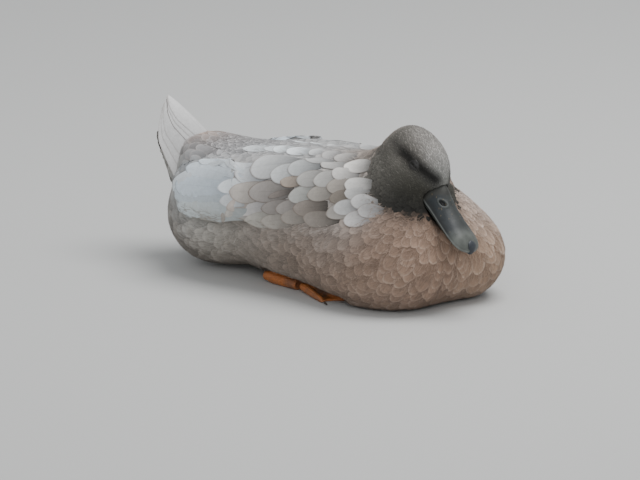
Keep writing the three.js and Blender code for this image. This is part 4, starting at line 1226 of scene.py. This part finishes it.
# ---- Eyes ----
# Dark brown eyes, half closed at rest. The lids are bare rims of dark skin that leave a narrow slit; their colour is
# darkened further with painted shade, to sink into the shade of the groove around the eye.
EYE_AT, EYE_RADIUS = (-23.5, 14.9, 17.6), 5.4
# the lids' colour: dark skin, darker still with painted shade
IRIS, PUPIL, LID_SKIN_AND_SHADE = (44, 28, 17), (5, 5, 6), (28, 26, 24)
SLIT_HALF, SLIT_UP, SLIT_DOWN, LID_REACH = 3.2, 0.75, 0.95, 4.6


def smooth_copy(name, node, levels=2):
    """A CAD part's own shape as a smooth mesh that is free to be changed."""
    work = bmesh.new()
    work.from_mesh(nodes[node].data)
    bmesh.ops.remove_doubles(work, verts=work.verts, dist=2e-6)
    mesh = bpy.data.meshes.new(name)
    work.to_mesh(mesh)
    work.free()
    thing = link_mesh(name, mesh)
    finer = thing.modifiers.new("finer", "SUBSURF")
    finer.levels = finer.render_levels = levels
    made = bpy.data.meshes.new_from_object(thing.evaluated_get(bpy.context.evaluated_depsgraph_get()))
    thing.modifiers.clear()
    thing.data = made
    made.materials.clear()
    made.shade_smooth()
    bpy.data.meshes.remove(mesh)
    return thing


eye_finish, surface, put, wire = new_material("eye_glass")
wire(put("ShaderNodeVertexColor", layer_name="tint").outputs["Color"], "Base Color")
surface.inputs["Roughness"].default_value = 0.04
surface.inputs["Specular IOR Level"].default_value = 0.5
surface.inputs["Coat Weight"].default_value = 0.6
surface.inputs["Coat Roughness"].default_value = 0.03
lid_finish = horn_finish("lid_skin", 0.2, 2600, 0.0003, LID_SKIN_AND_SHADE)
eyes, lids = [], []
for side, word in ((1, "left"), (-1, "right")):
    centre = np.array([EYE_AT[0], EYE_AT[1] * side, EYE_AT[2]])
    axis = unit(np.array([0.12, side, 0.16]))
    ahead = unit(np.array([1, 0, 0]) - axis * axis[0])
    above = np.cross(ahead, axis) if side < 0 else np.cross(axis, ahead)
    above = above * np.sign(above[2])
    turn, polar = np.linspace(0, 2 * np.pi, 48, endpoint=False), np.linspace(0.02, np.pi - 0.02, 40)
    radius = EYE_RADIUS / HEAD_SIZE * 1.0
    ball = (axis * np.cos(polar)[:, None, None]
            + (ahead * np.cos(turn)[:, None] + above * np.sin(turn)[:, None])[None] * np.sin(polar)[:, None, None])
    wave = 1 + 0.2 * np.sin(turn * 17)[None, :] + 0.15 * np.sin(turn * 41)[None, :]
    tone = blend_in(np.broadcast_to(linear(IRIS), ball.shape) * wave[..., None], PUPIL,
                    ease(0.42, 0.36, polar)[:, None] + ease(0.72, 0.8, polar)[:, None] + 0 * turn)
    eyes.append(closed_tube(f"eyeball_{word}", centre + ball * radius, tone, eye_finish))
    # each lid loop runs from the slit's edge out to the skin, and back along the eyeball
    slit = np.stack([SLIT_HALF * np.cos(turn), np.where(np.sin(turn) > 0, SLIT_UP, SLIT_DOWN) * np.sin(turn)], 1)
    lift = np.sqrt(radius ** 2 - (slit ** 2).sum(1))
    margin = centre + ahead * slit[:, :1] + above * slit[:, 1:] + axis * lift[:, None]
    far_out = centre + (ahead * np.cos(turn)[:, None] + above * np.sin(turn)[:, None]) * LID_REACH + axis * 14
    rim = []
    for spot in on_head(far_out):
        hit = bare.tree.ray_cast(Vector(spot), Vector(-(HEAD_TURN @ axis)))[0]
        rim.append(in_head(np.array(hit[:])))
    rim = np.array(rim)
    loops = np.array([margin + (rim - margin) * share + axis * height for share, height in (
        (0, 0.05), (0, 0.25), (0.06, 0.5), (0.18, 0.62), (0.4, 0.6), (0.7, 0.4), (1, 0.12), (1.05, -0.7),
        (0.5, -0.9), (0.12, -0.35))])
    index = np.arange(loops.shape[0] * 48).reshape(-1, 48)
    far, turned = np.roll(index, -1, 0), np.roll(index, -1, 1)
    quads = np.stack([index, far, np.roll(far, -1, 1), turned], -1).reshape(-1, 4)
    lid = plain_object(f"eyelids_{word}", (on_head(loops.reshape(-1, 3)) * MM).tolist(), quads.tolist())
    work = bmesh.new()
    work.from_mesh(lid.data)
    bmesh.ops.recalc_face_normals(work, faces=work.faces)
    work.to_mesh(lid.data)
    work.free()
    lid.data.shade_smooth()
    lid.data.materials.append(lid_finish)
    lids.append(lid)

# ---- Legs and feet ----
# Each shank lies flat under the flank and its webbed foot points forward beside the belly. Scaly skin of a
# dusky orange, in a row of broad scutes along the shank and each toe, with a net of small ones on the web.
FOOT_ORANGE, FOOT_DUSK = (186, 112, 58), (120, 84, 62)


def foot_skin(name, members):
    raw = bmesh.new()
    for member in members:
        raw.from_mesh(nodes[member].data)
    bmesh.ops.remove_doubles(raw, verts=raw.verts, dist=1e-6)
    mesh = bpy.data.meshes.new(name)
    raw.to_mesh(mesh)
    raw.free()
    thing = link_mesh(name, mesh)
    thing.modifiers.new("remesh", "REMESH").voxel_size = 0.8 * MM
    smooth = thing.modifiers.new("smooth", "SMOOTH")
    smooth.factor, smooth.iterations = 0.5, 8
    made = bpy.data.meshes.new_from_object(thing.evaluated_get(bpy.context.evaluated_depsgraph_get()))
    thing.modifiers.clear()
    thing.data = made
    bpy.data.meshes.remove(mesh)
    made.materials.clear()
    made.shade_smooth()
    return thing


def foot_finish(name, base, dusk, relief):
    material, surface, put, wire = new_material(name)
    place = put("ShaderNodeTexCoord").outputs["Object"]
    net = put("ShaderNodeTexVoronoi", {"Vector": place, "Scale": 620}, feature="DISTANCE_TO_EDGE")
    crease = put("ShaderNodeMapRange", {"Value": net.outputs["Distance"], "From Min": 0.02, "From Max": 0.16})
    broad = put("ShaderNodeTexNoise", {"Vector": place, "Scale": 70, "Detail": 4})
    share = put("ShaderNodeMapRange", {"Value": broad.outputs["Fac"], "From Min": 0.42, "From Max": 0.66})
    mix = put("ShaderNodeMix", data_type="RGBA")
    mix.inputs[6].default_value, mix.inputs[7].default_value = (*linear(base), 1), (*linear(dusk), 1)
    wire(share.outputs["Result"], mix.inputs["Factor"])
    dim = put("ShaderNodeMapRange", {"Value": crease.outputs["Result"], "To Min": 0.72, "To Max": 1.0})
    toned = put("ShaderNodeVectorMath", {0: mix.outputs[2]}, operation="SCALE")
    wire(dim.outputs["Result"], toned.inputs["Scale"])
    wire(toned.outputs["Vector"], "Base Color")
    bump = put("ShaderNodeBump", {"Height": crease.outputs["Result"], "Strength": 0.7, "Distance": relief})
    wire(bump.outputs["Normal"], "Normal")
    surface.inputs["Roughness"].default_value = 0.5
    return material


web_skin = foot_finish("web_skin", FOOT_ORANGE, FOOT_DUSK, 0.0003)
scute_skin = foot_finish("scute_skin", (196, 122, 66), (142, 96, 64), 0.00008)
claw_horn = horn_finish("claw_horn", 0.2, 1400, 0.0001, (60, 50, 42))
ANKLE, JOINT, TOES = np.array([-68, 38, 5.5]), np.array([-24, 45, 4.6]), ((-23, 44), (0, 52), (24, 46))
feet, scutes, claws = [], [], []
for side, word in ((1, "left"), (-1, "right")):
    foot = foot_skin(f"foot_skin_{word}", [f"foot_{word}", f"tarsus_{word}"])
    foot.data.materials.append(web_skin)
    feet.append(foot)
    top = Surface(foot.data)
    flip = np.array([1, side, 1])
    ankle, joint = ANKLE * flip, JOINT * flip
    heading = math.atan2(joint[1] - ankle[1], joint[0] - ankle[0]) * 0.4
    rows = [(ankle + (joint - ankle) * 0.12, joint, 11, 1.5)]
    for angle, length in TOES:
        way = heading + math.radians(angle * side)
        tip = joint + np.array([math.cos(way), math.sin(way), 0]) * length
        rows.append((joint + (tip - joint) * 0.14, tip, 18, 1.0))
    places, forward, upward, sizes = [], [], [], []
    for start, end, count, scale in rows:
        way = (end - start) / np.linalg.norm(end - start)
        for t in np.linspace(0, 1, count):
            spot = start + (end - start) * t
            hit = top.tree.ray_cast(Vector((spot[0], spot[1], 40)), Vector((0, 0, -1)))
            if hit[0] is None:
                continue
            _, up = top.settle(np.array([hit[0][:]]))
            ahead = way - up[0] * (way @ up[0])
            places.append(np.array(hit[0][:]) - up[0] * 0.25)
            forward.append(ahead / np.linalg.norm(ahead))
            upward.append(up[0])
            sizes.append(scale * (1 - 0.3 * t))
    scutes.append(plates_on(f"scutes_{word}", places, frame_angles(forward, upward), sizes, (3.1, 5.0, 1.3),
                            scute_skin, 8))
    for i in range(1, 5):
        claw = smooth_copy(f"claw_horn_{word}_{i}", f"claw_{word}_{i}")
        claw.data.materials.append(claw_horn)
        claws.append(claw)

# ---- Finish ----
# Everything is one still body. Each piece stands for the solids whose place it takes.
for piece in [skin, head_coat, tail, tail_coverts, undertail_coverts, upper_bill, lower_bill, bill_nail, bill_comb,
              *coats, *wings, *eyes, *lids, *feet, *scutes, *claws]:
    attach(piece, "root")
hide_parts(*FLESH)
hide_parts(*tail_hull)
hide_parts(*stack_hulls[1])
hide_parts(*stack_hulls[0])
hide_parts("upper_bill")
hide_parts("lower_bill")
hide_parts("bill_nail")
for piece, word in zip(eyes, ("left", "right")):
    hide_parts(f"eye_{word}")
for piece, word in zip(feet, ("left", "right")):
    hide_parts(f"foot_{word}", f"tarsus_{word}")
for piece in claws:
    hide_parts(piece.name.replace("_horn", ""))
